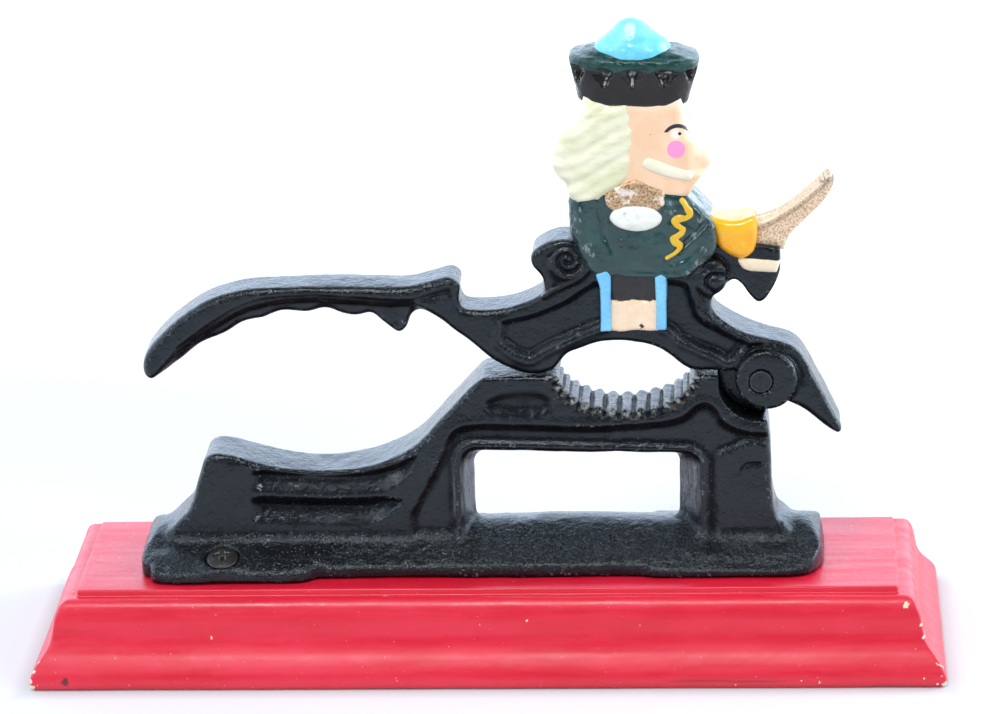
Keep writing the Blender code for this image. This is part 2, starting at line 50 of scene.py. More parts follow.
# ------------------------------------------------------------------ drawing in the XZ plane
def spline(points, step=0.8, closed=True):
    """Centripetal spline through points. A third value marks a sharp corner."""
    n = len(points)
    spots = [np.array(p[:2], float) for p in points]
    sharp = [len(p) > 2 for p in points]
    out = []
    for i in range(n if closed else n - 1):
        p1, p2 = spots[i], spots[(i + 1) % n]
        p0 = spots[i - 1] if (closed or i > 0) and not sharp[i] else 2 * p1 - p2
        last = not closed and i + 2 >= n
        p3 = 2 * p2 - p1 if sharp[(i + 1) % n] or last else spots[(i + 2) % n]
        gap = [max(np.linalg.norm(b - a), 1e-6) ** 0.5 for a, b in ((p0, p1), (p1, p2), (p2, p3))]
        t0, t1 = 0.0, gap[0]
        t2, t3 = gap[0] + gap[1], sum(gap)
        pieces = 1 if sharp[i] and sharp[(i + 1) % n] else max(1, round(np.linalg.norm(p2 - p1) / step))
        t = (t1 + (t2 - t1) * np.arange(pieces) / pieces)[:, None]
        a1 = p0 * (t1 - t) / (t1 - t0) + p1 * (t - t0) / (t1 - t0)
        a2 = p1 * (t2 - t) / (t2 - t1) + p2 * (t - t1) / (t2 - t1)
        a3 = p2 * (t3 - t) / (t3 - t2) + p3 * (t - t2) / (t3 - t2)
        b1 = a1 * (t2 - t) / (t2 - t0) + a2 * (t - t0) / (t2 - t0)
        b2 = a2 * (t3 - t) / (t3 - t1) + a3 * (t - t1) / (t3 - t1)
        out.append(b1 * (t2 - t) / (t2 - t1) + b2 * (t - t1) / (t2 - t1))
    if not closed:
        out.append(spots[-1][None])
    return np.concatenate(out)


def arc(cx, cz, r, start, end, pieces):
    a = np.radians(np.linspace(start, end, pieces + 1))
    return np.stack([cx + r * np.cos(a), cz + r * np.sin(a)], 1)


def rounded_box(x0, z0, x1, z1, r):
    return np.concatenate([
        arc(x1 - r, z0 + r, r, -90, 0, 8), arc(x1 - r, z1 - r, r, 0, 90, 8),
        arc(x0 + r, z1 - r, r, 90, 180, 8), arc(x0 + r, z0 + r, r, 180, 270, 8),
    ])


def smooth(t):
    t = np.clip(t, 0.0, 1.0)
    return t * t * (3 - 2 * t)


def inside(d, soft):
    """1 well inside an outline of signed distance d, 0 outside, turning over 2 * soft."""
    return smooth(0.5 - d / (2 * soft))


def blend_min(a, b, k):
    h = np.maximum(k - np.abs(a - b), 0.0)
    return np.minimum(a, b) - h * h * (0.25 / k)


def blend_max(a, b, k):
    return -blend_min(-a, -b, k)


class Block:
    """A box of voxels that shapes are carved in, as a signed distance in millimetres."""

    def __init__(self, low, high, step):
        self.low, self.step = np.array(low, float), step
        self.x, self.y, self.z = [
            np.arange(low[i], high[i] + step, step).astype(np.float32) for i in range(3)
        ]
        self.X, self.Z = np.meshgrid(self.x, self.z, indexing="ij")
        self.f = None

    def line(self, points, closed=False):
        """Distance in the XZ plane to a run of straight pieces, and, if closed, negative inside."""
        points = np.asarray(points, np.float32)
        ends = np.roll(points, -1, 0)
        if not closed:
            points, ends = points[:-1], ends[:-1]
        X, Z = self.X, self.Z
        best = np.full(X.shape, 1e6, np.float32)
        odd = np.zeros(X.shape, bool)
        for (ax, az), (bx, bz) in zip(points, ends):
            ex, ez = bx - ax, bz - az
            wx, wz = X - ax, Z - az
            t = np.clip((wx * ex + wz * ez) / max(ex * ex + ez * ez, 1e-9), 0, 1)
            wx -= ex * t
            wz -= ez * t
            np.minimum(best, wx * wx + wz * wz, out=best)
            if closed and az != bz:
                rows = (az > self.z) != (bz > self.z)
                if rows.any():
                    cut = ax + (self.z[rows] - az) * (ex / ez)
                    odd[:, rows] ^= self.x[:, None] < cut[None, :]
        best = np.sqrt(best)
        return np.where(odd, -best, best) if closed else best

    def shape(self, points):
        return self.line(points, True)

    def plate(self, d, half, edge=1.0, middle=0.0):
        """An outline of signed distance d made as thick as 2 * half, its edges rounded."""
        half = np.broadcast_to(np.asarray(half, np.float32), self.X.shape)
        edge = np.broadcast_to(np.asarray(edge, np.float32), self.X.shape)[:, None, :]
        a = d[:, None, :] + edge
        b = np.abs(self.y - middle)[None, :, None] - half[:, None, :] + edge
        return (
            np.minimum(np.maximum(a, b), 0)
            + np.sqrt(np.maximum(a, 0) ** 2 + np.maximum(b, 0) ** 2)
            - edge
        ).astype(np.float32)

    def between(self, d, low, high, edge=0.5):
        return self.plate(d, (high - low) / 2, edge, (high + low) / 2)

    def ball(self, centre, size):
        p = [
            (axis - c) / s
            for axis, c, s in zip((self.x, self.y, self.z), centre, size)
        ]
        r = np.sqrt(
            p[0][:, None, None] ** 2 + p[1][None, :, None] ** 2 + p[2][None, None, :] ** 2
        )
        return ((r - 1) * min(size)).astype(np.float32)

    def add(self, g, k=0.0):
        if self.f is None:
            self.f = g
        else:
            self.f = blend_min(self.f, g, k) if k else np.minimum(self.f, g)

    def cut(self, g, k=0.0):
        self.f = blend_max(self.f, -g, k) if k else np.maximum(self.f, -g)

    def surface(self):
        """(points, quads) of the zero level, by surface nets."""
        f = self.f
        f[[0, -1]] = np.maximum(f[[0, -1]], 0.05)
        f[:, [0, -1]] = np.maximum(f[:, [0, -1]], 0.05)
        f[:, :, [0, -1]] = np.maximum(f[:, :, [0, -1]], 0.05)
        s = f < 0
        total = np.zeros(tuple(n - 1 for n in f.shape), np.int8)
        for i in (0, 1):
            for j in (0, 1):
                for k in (0, 1):
                    total += s[i: s.shape[0] - 1 + i, j: s.shape[1] - 1 + j, k: s.shape[2] - 1 + k]
        cells = np.argwhere((total > 0) & (total < 8))
        del total
        index = np.full(tuple(n - 1 for n in f.shape), -1, np.int32)
        index[tuple(cells.T)] = np.arange(len(cells))
        value = {}
        for i in (0, 1):
            for j in (0, 1):
                for k in (0, 1):
                    value[i, j, k] = f[cells[:, 0] + i, cells[:, 1] + j, cells[:, 2] + k]
        where = np.zeros((len(cells), 3))
        count = np.zeros(len(cells))
        for axis in range(3):
            for p in (0, 1):
                for q in (0, 1):
                    a, b = [p, q], [p, q]
                    a.insert(axis, 0)
                    b.insert(axis, 1)
                    fa, fb = value[tuple(a)], value[tuple(b)]
                    on = (fa < 0) != (fb < 0)
                    t = np.where(on, fa / np.where(on, fa - fb, 1), 0)
                    spot = np.tile(np.array(a, float), (len(cells), 1))
                    spot[:, axis] = t
                    where += spot * on[:, None]
                    count += on
        points = self.low + (cells + where / count[:, None]) * self.step
        quads = []
        for axis in range(3):
            lo = [slice(None)] * 3
            hi = [slice(None)] * 3
            lo[axis], hi[axis] = slice(0, -1), slice(1, None)
            a, b = s[tuple(lo)], s[tuple(hi)]
            edge = np.argwhere(a != b)
            u, v = [k for k in range(3) if k != axis]
            edge = edge[(edge[:, u] > 0) & (edge[:, v] > 0)
                        & (edge[:, u] < f.shape[u] - 1) & (edge[:, v] < f.shape[v] - 1)]
            flip = a[tuple(edge.T)]
            four = []
            for du, dv in ((-1, -1), (0, -1), (0, 0), (-1, 0)):
                c = edge.copy()
                c[:, u] += du
                c[:, v] += dv
                four.append(index[tuple(c.T)])
            four = np.stack(four, 1)
            turn = flip if axis != 1 else ~flip
            four[~turn] = four[~turn][:, ::-1]
            quads.append(four)
        return points, np.concatenate(quads)


def mesh_normals(points, quads):
    d1 = points[quads[:, 2]] - points[quads[:, 0]]
    d2 = points[quads[:, 3]] - points[quads[:, 1]]
    face = np.cross(d1, d2)
    normal = np.zeros_like(points)
    for k in range(4):
        for c in range(3):
            normal[:, c] += np.bincount(quads[:, k], face[:, c], len(points))
    return normal / np.maximum(np.linalg.norm(normal, axis=1), 1e-12)[:, None]


def relax(points, quads, rounds, pull=0.5):
    """Laplacian smoothing along the quads' edges."""
    edges = np.concatenate([quads[:, [0, 1]], quads[:, [1, 2]], quads[:, [2, 3]], quads[:, [3, 0]]])
    n = len(points)
    degree = np.bincount(edges[:, 0], minlength=n) + np.bincount(edges[:, 1], minlength=n)
    for _ in range(rounds):
        total = np.stack([
            np.bincount(edges[:, 0], points[edges[:, 1], c], n)
            + np.bincount(edges[:, 1], points[edges[:, 0], c], n)
            for c in range(3)
        ], 1)
        points = points + pull * (total / degree[:, None] - points)
    return points


def ripple(points, size, seed):
    """Smooth noise of about +-1 at the points, whose lumps are about size across."""
    rng = np.random.RandomState(seed)
    table = rng.uniform(-1, 1, 4096)
    p = points / size + rng.uniform(0, 50, 3)
    cell = np.floor(p).astype(np.int64)
    t = p - cell
    t = t * t * (3 - 2 * t)
    out = np.zeros(len(points))
    for i in (0, 1):
        for j in (0, 1):
            for k in (0, 1):
                c = cell + (i, j, k)
                h = (c[:, 0] * 73856093 ^ c[:, 1] * 19349663 ^ c[:, 2] * 83492791) & 4095
                w = (t[:, 0] if i else 1 - t[:, 0]) * (t[:, 1] if j else 1 - t[:, 1]) * (t[:, 2] if k else 1 - t[:, 2])
                out += table[h] * w
    return out


def make_mesh(name, points, faces, body, material, attributes=None, mirror_check=False):
    """Points in millimetres become an object in metres that rides on a body."""
    mesh = bpy.data.meshes.new(name)
    faces = np.asarray(faces, np.int32)
    mesh.vertices.add(len(points))
    mesh.vertices.foreach_set("co", (np.asarray(points) * MM).astype(np.float32).ravel())
    mesh.loops.add(faces.size)
    mesh.loops.foreach_set("vertex_index", faces.ravel())
    mesh.polygons.add(len(faces))
    side = faces.shape[1]
    mesh.polygons.foreach_set("loop_start", np.arange(0, faces.size, side, dtype=np.int32))
    mesh.update(calc_edges=True)
    mesh.validate()
    for key, data in (attributes or {}).items():
        layer = mesh.attributes.new(key, "FLOAT", "POINT")
        layer.data.foreach_set("value", np.asarray(data, np.float32))
    mesh.shade_smooth()
    obj = bpy.data.objects.new(name, mesh)
    bpy.context.scene.collection.objects.link(obj)
    mesh.materials.append(material)
    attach(obj, body)
    return obj


def sculpt(name, block, body, material, lumps=(), rounds=0, extra=None):
    """Turns a block into a piece: meshes it, adds cast or brushed unevenness, and notes where edges stand proud."""
    points, quads = block.surface()
    if rounds:
        points = relax(points, quads, rounds)
    normal = mesh_normals(points, quads)
    for size, height, seed in lumps:
        amount = height(points, normal) if callable(height) else height
        points = points + normal * (ripple(points, size, seed) * amount)[:, None]
    soft = relax(points, quads, 10, 0.6)
    normal = mesh_normals(points, quads)
    proud = ((points - soft) * normal).sum(1)
    attributes = {"proud": proud}
    if extra:
        attributes.update(extra(points, normal))
    block.f = None
    return make_mesh(name, points, quads, body, material, attributes)


# ------------------------------------------------------------------ materials
class Shade:
    """A short way to write shader maths: each value is a socket or a number."""

    def __init__(self, material):
        self.tree = material.node_tree
        self.out = self.tree.nodes["Principled BSDF"]

    def node(self, kind, **settings):
        made = self.tree.nodes.new(kind)
        for key, value in settings.items():
            setattr(made, key, value)
        return made

    def feed(self, socket, value):
        if isinstance(value, (int, float)):
            socket.default_value = value
        elif isinstance(value, tuple):
            socket.default_value = value if len(value) == len(socket.default_value) else (*value, 1.0)
        else:
            self.tree.links.new(value, socket)

    def math(self, operation, *values, clamp=False):
        made = self.node("ShaderNodeMath", operation=operation, use_clamp=clamp)
        for socket, value in zip(made.inputs, values):
            self.feed(socket, value)
        return made.outputs[0]

    def add(self, a, b):
        return self.math("ADD", a, b)

    def sub(self, a, b):
        return self.math("SUBTRACT", a, b)

    def mul(self, a, b):
        return self.math("MULTIPLY", a, b)

    def least(self, a, b):
        return self.math("MINIMUM", a, b)

    def most(self, a, b):
        return self.math("MAXIMUM", a, b)

    def ramp(self, value, low, high, to_low=0.0, to_high=1.0):
        made = self.node("ShaderNodeMapRange", interpolation_type="SMOOTHSTEP")
        for k, v in enumerate((value, low, high, to_low, to_high)):
            self.feed(made.inputs[k], v)
        return made.outputs[0]

    def mix(self, share, a, b):
        made = self.node("ShaderNodeMix", data_type="RGBA")
        self.feed(made.inputs[0], share)
        self.feed(made.inputs[6], a)
        self.feed(made.inputs[7], b)
        return made.outputs[2]

    def place(self):
        return self.node("ShaderNodeTexCoord").outputs["Object"]

    def xyz(self):
        """The three coordinates in millimetres."""
        split = self.node("ShaderNodeSeparateXYZ")
        self.tree.links.new(self.place(), split.inputs[0])
        return [self.mul(o, 1000.0) for o in split.outputs]

    def noise(self, size, detail=3.0, rough=0.55, stretch=(1, 1, 1), seed=0.0, kind="noise", turn=(0, 0, 0)):
        """Noise whose lumps are about size millimetres across."""
        mapping = self.node("ShaderNodeMapping")
        self.tree.links.new(self.place(), mapping.inputs[0])
        mapping.inputs["Location"].default_value = (seed * 0.37, seed * 0.11, seed * 0.71)
        mapping.inputs["Rotation"].default_value = turn
        mapping.inputs["Scale"].default_value = stretch
        if kind == "cells":
            made = self.node("ShaderNodeTexVoronoi", feature="F1")
            made.inputs["Scale"].default_value = 1000.0 / size
            self.tree.links.new(mapping.outputs[0], made.inputs["Vector"])
            return made.outputs["Distance"]
        made = self.node("ShaderNodeTexNoise")
        made.inputs["Scale"].default_value = 1000.0 / size
        made.inputs["Detail"].default_value = detail
        made.inputs["Roughness"].default_value = rough
        self.tree.links.new(mapping.outputs[0], made.inputs["Vector"])
        return made.outputs[0]

    def attribute(self, name):
        made = self.node("ShaderNodeAttribute", attribute_name=name)
        return made.outputs["Fac"]

    def normal(self):
        split = self.node("ShaderNodeSeparateXYZ")
        self.tree.links.new(self.node("ShaderNodeTexCoord").outputs["Normal"], split.inputs[0])
        return split.outputs

    def bump(self, height, strength, distance):
        made = self.node("ShaderNodeBump")
        made.inputs["Strength"].default_value = strength
        made.inputs["Distance"].default_value = distance * MM
        self.tree.links.new(height, made.inputs["Height"])
        self.tree.links.new(made.outputs[0], self.out.inputs["Normal"])
        return made

    def disc(self, u, w, cu, cw, r, soft=0.15):
        """1 inside a circle in the plane of u and w."""
        du, dw = self.sub(u, cu), self.sub(w, cw)
        d = self.math("SQRT", self.add(self.mul(du, du), self.mul(dw, dw)))
        return self.ramp(d, r - soft, r + soft, 1.0, 0.0)


def linear(r, g, b):
    """Screen colour, 0 to 255, as linear light."""
    return tuple(
        (c / 255 / 12.92) if c / 255 <= 0.04045 else ((c / 255 + 0.055) / 1.055) ** 2.4
        for c in (r, g, b)
    )


def material(name, colour, roughness, metallic=0.0, coat=0.0, coat_rough=0.1, ior=1.5, tint=None):
    made = bpy.data.materials.new(name)
    made.use_nodes = True
    made.diffuse_color = (*colour, 1)
    s = Shade(made)
    s.feed(s.out.inputs["Base Color"], (*colour, 1.0))
    s.out.inputs["Roughness"].default_value = roughness
    s.out.inputs["Metallic"].default_value = metallic
    s.out.inputs["IOR"].default_value = ior
    s.out.inputs["Coat Weight"].default_value = coat
    s.out.inputs["Coat Roughness"].default_value = coat_rough
    if tint:
        s.out.inputs["Specular Tint"].default_value = (*tint, 1.0)
    return made, s


SPOTS = ((-63.6, 48.8, 0.8), (-64.6, 39.4, 0.7))


def enamel(name, seed=0.0, jaw=False):
    """Black enamel brushed over rough cast iron: glossy lumps, thin worn edges that also carry painted highlights, dust
    in the hollows.
    """
    made, s = material(name, (0.005, 0.006, 0.0075), 0.27, ior=1.52, tint=(0.80, 0.91, 1.0))
    x, y, z = s.xyz()
    lumps = s.noise(5.5, 3, 0.5, seed=seed + 1)
    fine = s.noise(1.1, 4, 0.6, seed=seed + 2)
    grit = s.noise(0.45, 2, 0.6, seed=seed + 3)
    proud = s.attribute("proud")
    rough = s.attribute("rough")
    # colour: slightly bluish where the coat is thick, greyer where it is rubbed thin
    tone = s.mix(s.ramp(lumps, 0.35, 0.7), (0.0035, 0.0040, 0.0050), (0.0065, 0.0076, 0.0095))
    # proud crests: partly rubbed paint, partly painted highlight, pale broken glints laid along the edges in patches
    edge = s.mul(s.ramp(proud, 0.05, 0.15), s.ramp(fine, 0.56, 0.66))
    edge = s.mul(edge, s.ramp(s.noise(9.0, 2, 0.5, seed=seed + 6), 0.44, 0.58, 0.25, 1.0))
    tone = s.mix(s.mul(s.mul(edge, s.ramp(rough, 0.3, 0.9, 0.70, 0.12)), 1.0), tone, (0.19, 0.20, 0.205))
    # pale dust and chips that sit in the rough foot and in hollows
    hollow = s.ramp(proud, -0.03, -0.14)
    specks = s.ramp(s.noise(0.62, 2, 0.5, seed=seed + 7), 0.655, 0.70)
    drift = s.mul(s.ramp(s.noise(16.0, 2, 0.5, seed=seed + 8), 0.40, 0.62), s.ramp(x, 30.0, -30.0, 0.25, 1.0))
    dust = s.mul(s.most(s.mul(rough, drift), s.mul(hollow, 0.3)), specks)
    tone = s.mix(s.mul(dust, 0.8), tone, (0.36, 0.35, 0.31))
    if jaw:
        ex, ez = s.mul(s.sub(x, 39.5), 1 / 21.5), s.mul(s.sub(z, 81.5), 1 / 13.0)
        bowl = s.ramp(s.add(s.mul(ex, ex), s.mul(ez, ez)), 1.0, 1.12, 1.0, 0.0)
        bowl = s.mul(bowl, s.ramp(s.normal()[2], 0.05, 0.35))
        streak = s.noise(1.3, 4, 0.6, stretch=(1.0, 0.12, 1.0), seed=seed + 9)
        tone = s.mix(s.mul(s.mul(bowl, s.ramp(streak, 0.46, 0.62)), 0.85), tone, (0.075, 0.068, 0.058))
        # tooth tips: partly worn metal, partly a painted highlight along the teeth's front edge
        tip_wear_and_glint = s.mul(s.mul(bowl, s.ramp(s.math("ABSOLUTE", y), 6.9, 7.7)), s.ramp(fine, 0.42, 0.54))
        tip_wear_and_glint = s.mul(tip_wear_and_glint, s.ramp(proud, 0.12, 0.22))
        tone = s.mix(s.mul(tip_wear_and_glint, 0.6), tone, (0.36, 0.38, 0.38))
        # paint worn off where the flutes run out on the left
        ragged = s.mul(s.sub(s.noise(0.9, 3, 0.65, seed=seed + 14), 0.5), 2.6)
        xr, zr = s.add(x, ragged), s.add(z, s.mul(s.sub(s.noise(0.8, 3, 0.65, seed=seed + 15), 0.5), 2.2))
        bare = s.disc(xr, zr, SPOTS[0][0], SPOTS[0][1], SPOTS[0][2], 0.3)
        for sx, sz, sr in SPOTS[1:]:
            bare = s.most(bare, s.disc(xr, zr, sx, sz, sr, 0.3))
        bare = s.mul(bare, s.mul(s.ramp(y, -5.0, -6.0), s.ramp(s.noise(0.7, 3, 0.6, stretch=(0.5, 1, 1.6), seed=seed + 16), 0.46, 0.56)))
        tone = s.mix(s.mul(bare, 0.85), tone, (0.34, 0.36, 0.42))
        # painted highlight: pale hatched glints on the rounded right ends of the flutes
        ends = s.most(s.disc(x, z, -25.6, 51.2, 0.6, 2.6), s.disc(x, z, -30.9, 40.2, 0.6, 2.6))
        glint_hatch = s.noise(0.9, 2, 0.5, stretch=(0.35, 1.0, 1.0), turn=(0, math.radians(-50), 0), seed=seed + 18)
        ends = s.mul(s.mul(ends, s.ramp(y, -4.5, -5.5)), s.ramp(glint_hatch, 0.42, 0.60))
        tone = s.mix(s.mul(ends, 0.7), tone, (0.14, 0.16, 0.18))
        inner = s.mul(s.ramp(s.math("ABSOLUTE", s.sub(x, 25.0)), 36.5, 34.8), s.ramp(s.math("ABSOLUTE", s.normal()[0]), 0.45, 0.70))
        inner = s.mul(inner, s.mul(s.ramp(z, 38.0, 42.0), s.ramp(z, 57.0, 53.0)))
        grain = s.noise(1.0, 4, 0.65, stretch=(1.0, 1.6, 0.22), seed=seed + 12)
        tone = s.mix(s.mul(inner, s.ramp(grain, 0.36, 0.60, 0.35, 1.0)), tone, (0.12, 0.13, 0.145))
    s.tree.links.new(tone, s.out.inputs["Base Color"])
    r = s.ramp(fine, 0.3, 0.75, 0.13, 0.27)
    r = s.add(r, s.mul(rough, 0.05))
    r = s.most(r, s.mul(dust, 0.65))
    s.tree.links.new(r, s.out.inputs["Roughness"])
    pebble = s.noise(1.7, 2, 0.5, seed=seed + 5)
    peel = s.noise(2.4, 3, 0.6, seed=seed + 17)
    height = s.add(s.mul(fine, 0.95), s.add(s.mul(lumps, 0.9), s.mul(peel, 0.7)))
    height = s.add(height, s.mul(s.add(s.mul(grit, 0.45), s.mul(pebble, 0.85)), s.add(rough, 0.20)))
    s.bump(height, 0.9, 0.28)
    facing = s.normal()[2]
    if not jaw:
        facing = s.add(facing, s.ramp(x, -8.0, -20.0, 0.0, 0.16))
    under = s.ramp(facing, -0.34, -0.05, 0.12, 1.0)
    shine = s.mul(s.ramp(proud, -0.16, -0.02, 0.14, 0.5), under)
    if jaw:
        shine = s.mul(shine, s.ramp(s.mul(bowl, s.ramp(proud, 0.02, -0.06)), 0.0, 1.0, 1.0, 0.25))
        shine = s.mul(shine, s.ramp(bowl, 0.0, 1.0, 1.0, 0.62))
    s.tree.links.new(shine, s.out.inputs["Specular IOR Level"])
    return made


def gloss_paint(name, colour, shade_to, seed, roughness=0.28, chip=None, chips_at=0.76, brush=(1, 1, 1)):
    """Hand-brushed gloss paint: slow colour drift, brush marks in the gloss, and a few chips to the iron."""
    made, s = material(name, colour, roughness, coat=0.25, coat_rough=0.12)
    drift = s.noise(7.0, 2, 0.5, seed=seed)
    strokes = s.noise(1.6, 3, 0.5, stretch=brush, seed=seed + 3)
    tone = s.mix(s.ramp(s.add(s.mul(drift, 0.7), s.mul(strokes, 0.3)), 0.36, 0.66), colour, shade_to)
    if chip:
        spots = s.ramp(s.noise(1.5, 2, 0.45, seed=seed + 9), chips_at, chips_at + 0.02)
        tone = s.mix(spots, tone, chip)
    s.tree.links.new(tone, s.out.inputs["Base Color"])
    s.tree.links.new(s.ramp(strokes, 0.3, 0.7, roughness - 0.06, roughness + 0.10), s.out.inputs["Roughness"])
    s.bump(s.add(s.mul(drift, 1.0), s.mul(strokes, 0.35)), 0.35, 0.25)
    return made, s, tone


# ------------------------------------------------------------------ the anvil casting
def jaw_edge():
    """The lower jaw: half an ellipse with round teeth standing in from it."""
    out = []
    teeth, steps = 15, 15 * 12
    for k in range(1, steps):
        turn = math.pi * k / steps
        x = 39.5 - 19.5 * math.cos(turn)
        z = 81.0 - 11.2 * math.sin(turn)
        wave = abs(math.sin(math.pi * teeth * k / steps)) ** 0.75 - 0.30
        tx, tz = 39.5 - x, 88.0 - z
        length = math.hypot(tx, tz)
        out.append((x + tx / length * 1.7 * wave, z + tz / length * 1.7 * wave))
    return np.array(out)


ANVIL_TOP = [
    (-90.6, 26.0, 1), (-90.2, 34.6), (-86.6, 38.9), (-84.0, 41.7), (-82.2, 45.6), (-80.0, 53.0),
    (-78.3, 57.2), (-76.2, 58.4), (-72.0, 58.2), (-67.0, 56.8), (-60.0, 54.7), (-52.0, 53.3),
    (-44.0, 52.9), (-35.0, 54.0), (-27.0, 56.4), (-19.2, 61.0), (-10.2, 70.7),
    (-1.4, 79.9), (0.4, 81.0, 1), (20.0, 81.0, 1),
]
ANVIL_RIGHT = [
    (78.0, 68.5, 1), (78.8, 65.8), (79.3, 60.0), (79.6, 51.0), (80.0, 43.4), (81.3, 38.4),
    (83.8, 36.0), (85.6, 26.0, 1),
]


SCREWS = ((-74.0, -16.0), (70.0, 16.0))


def flange_height(y, half):
    """Top of the foot across its depth: a low mound that ends in a thin vertical edge."""
    return np.interp(np.abs(y) * 18.4 / half, [0.0, 1.5, 3.0, 4.5, 6.0, 8.0, 10.0, 18.4, 23.0],
                     [36.4, 36.32, 36.05, 35.6, 34.95, 33.98, 32.95, 28.5, 26.4])


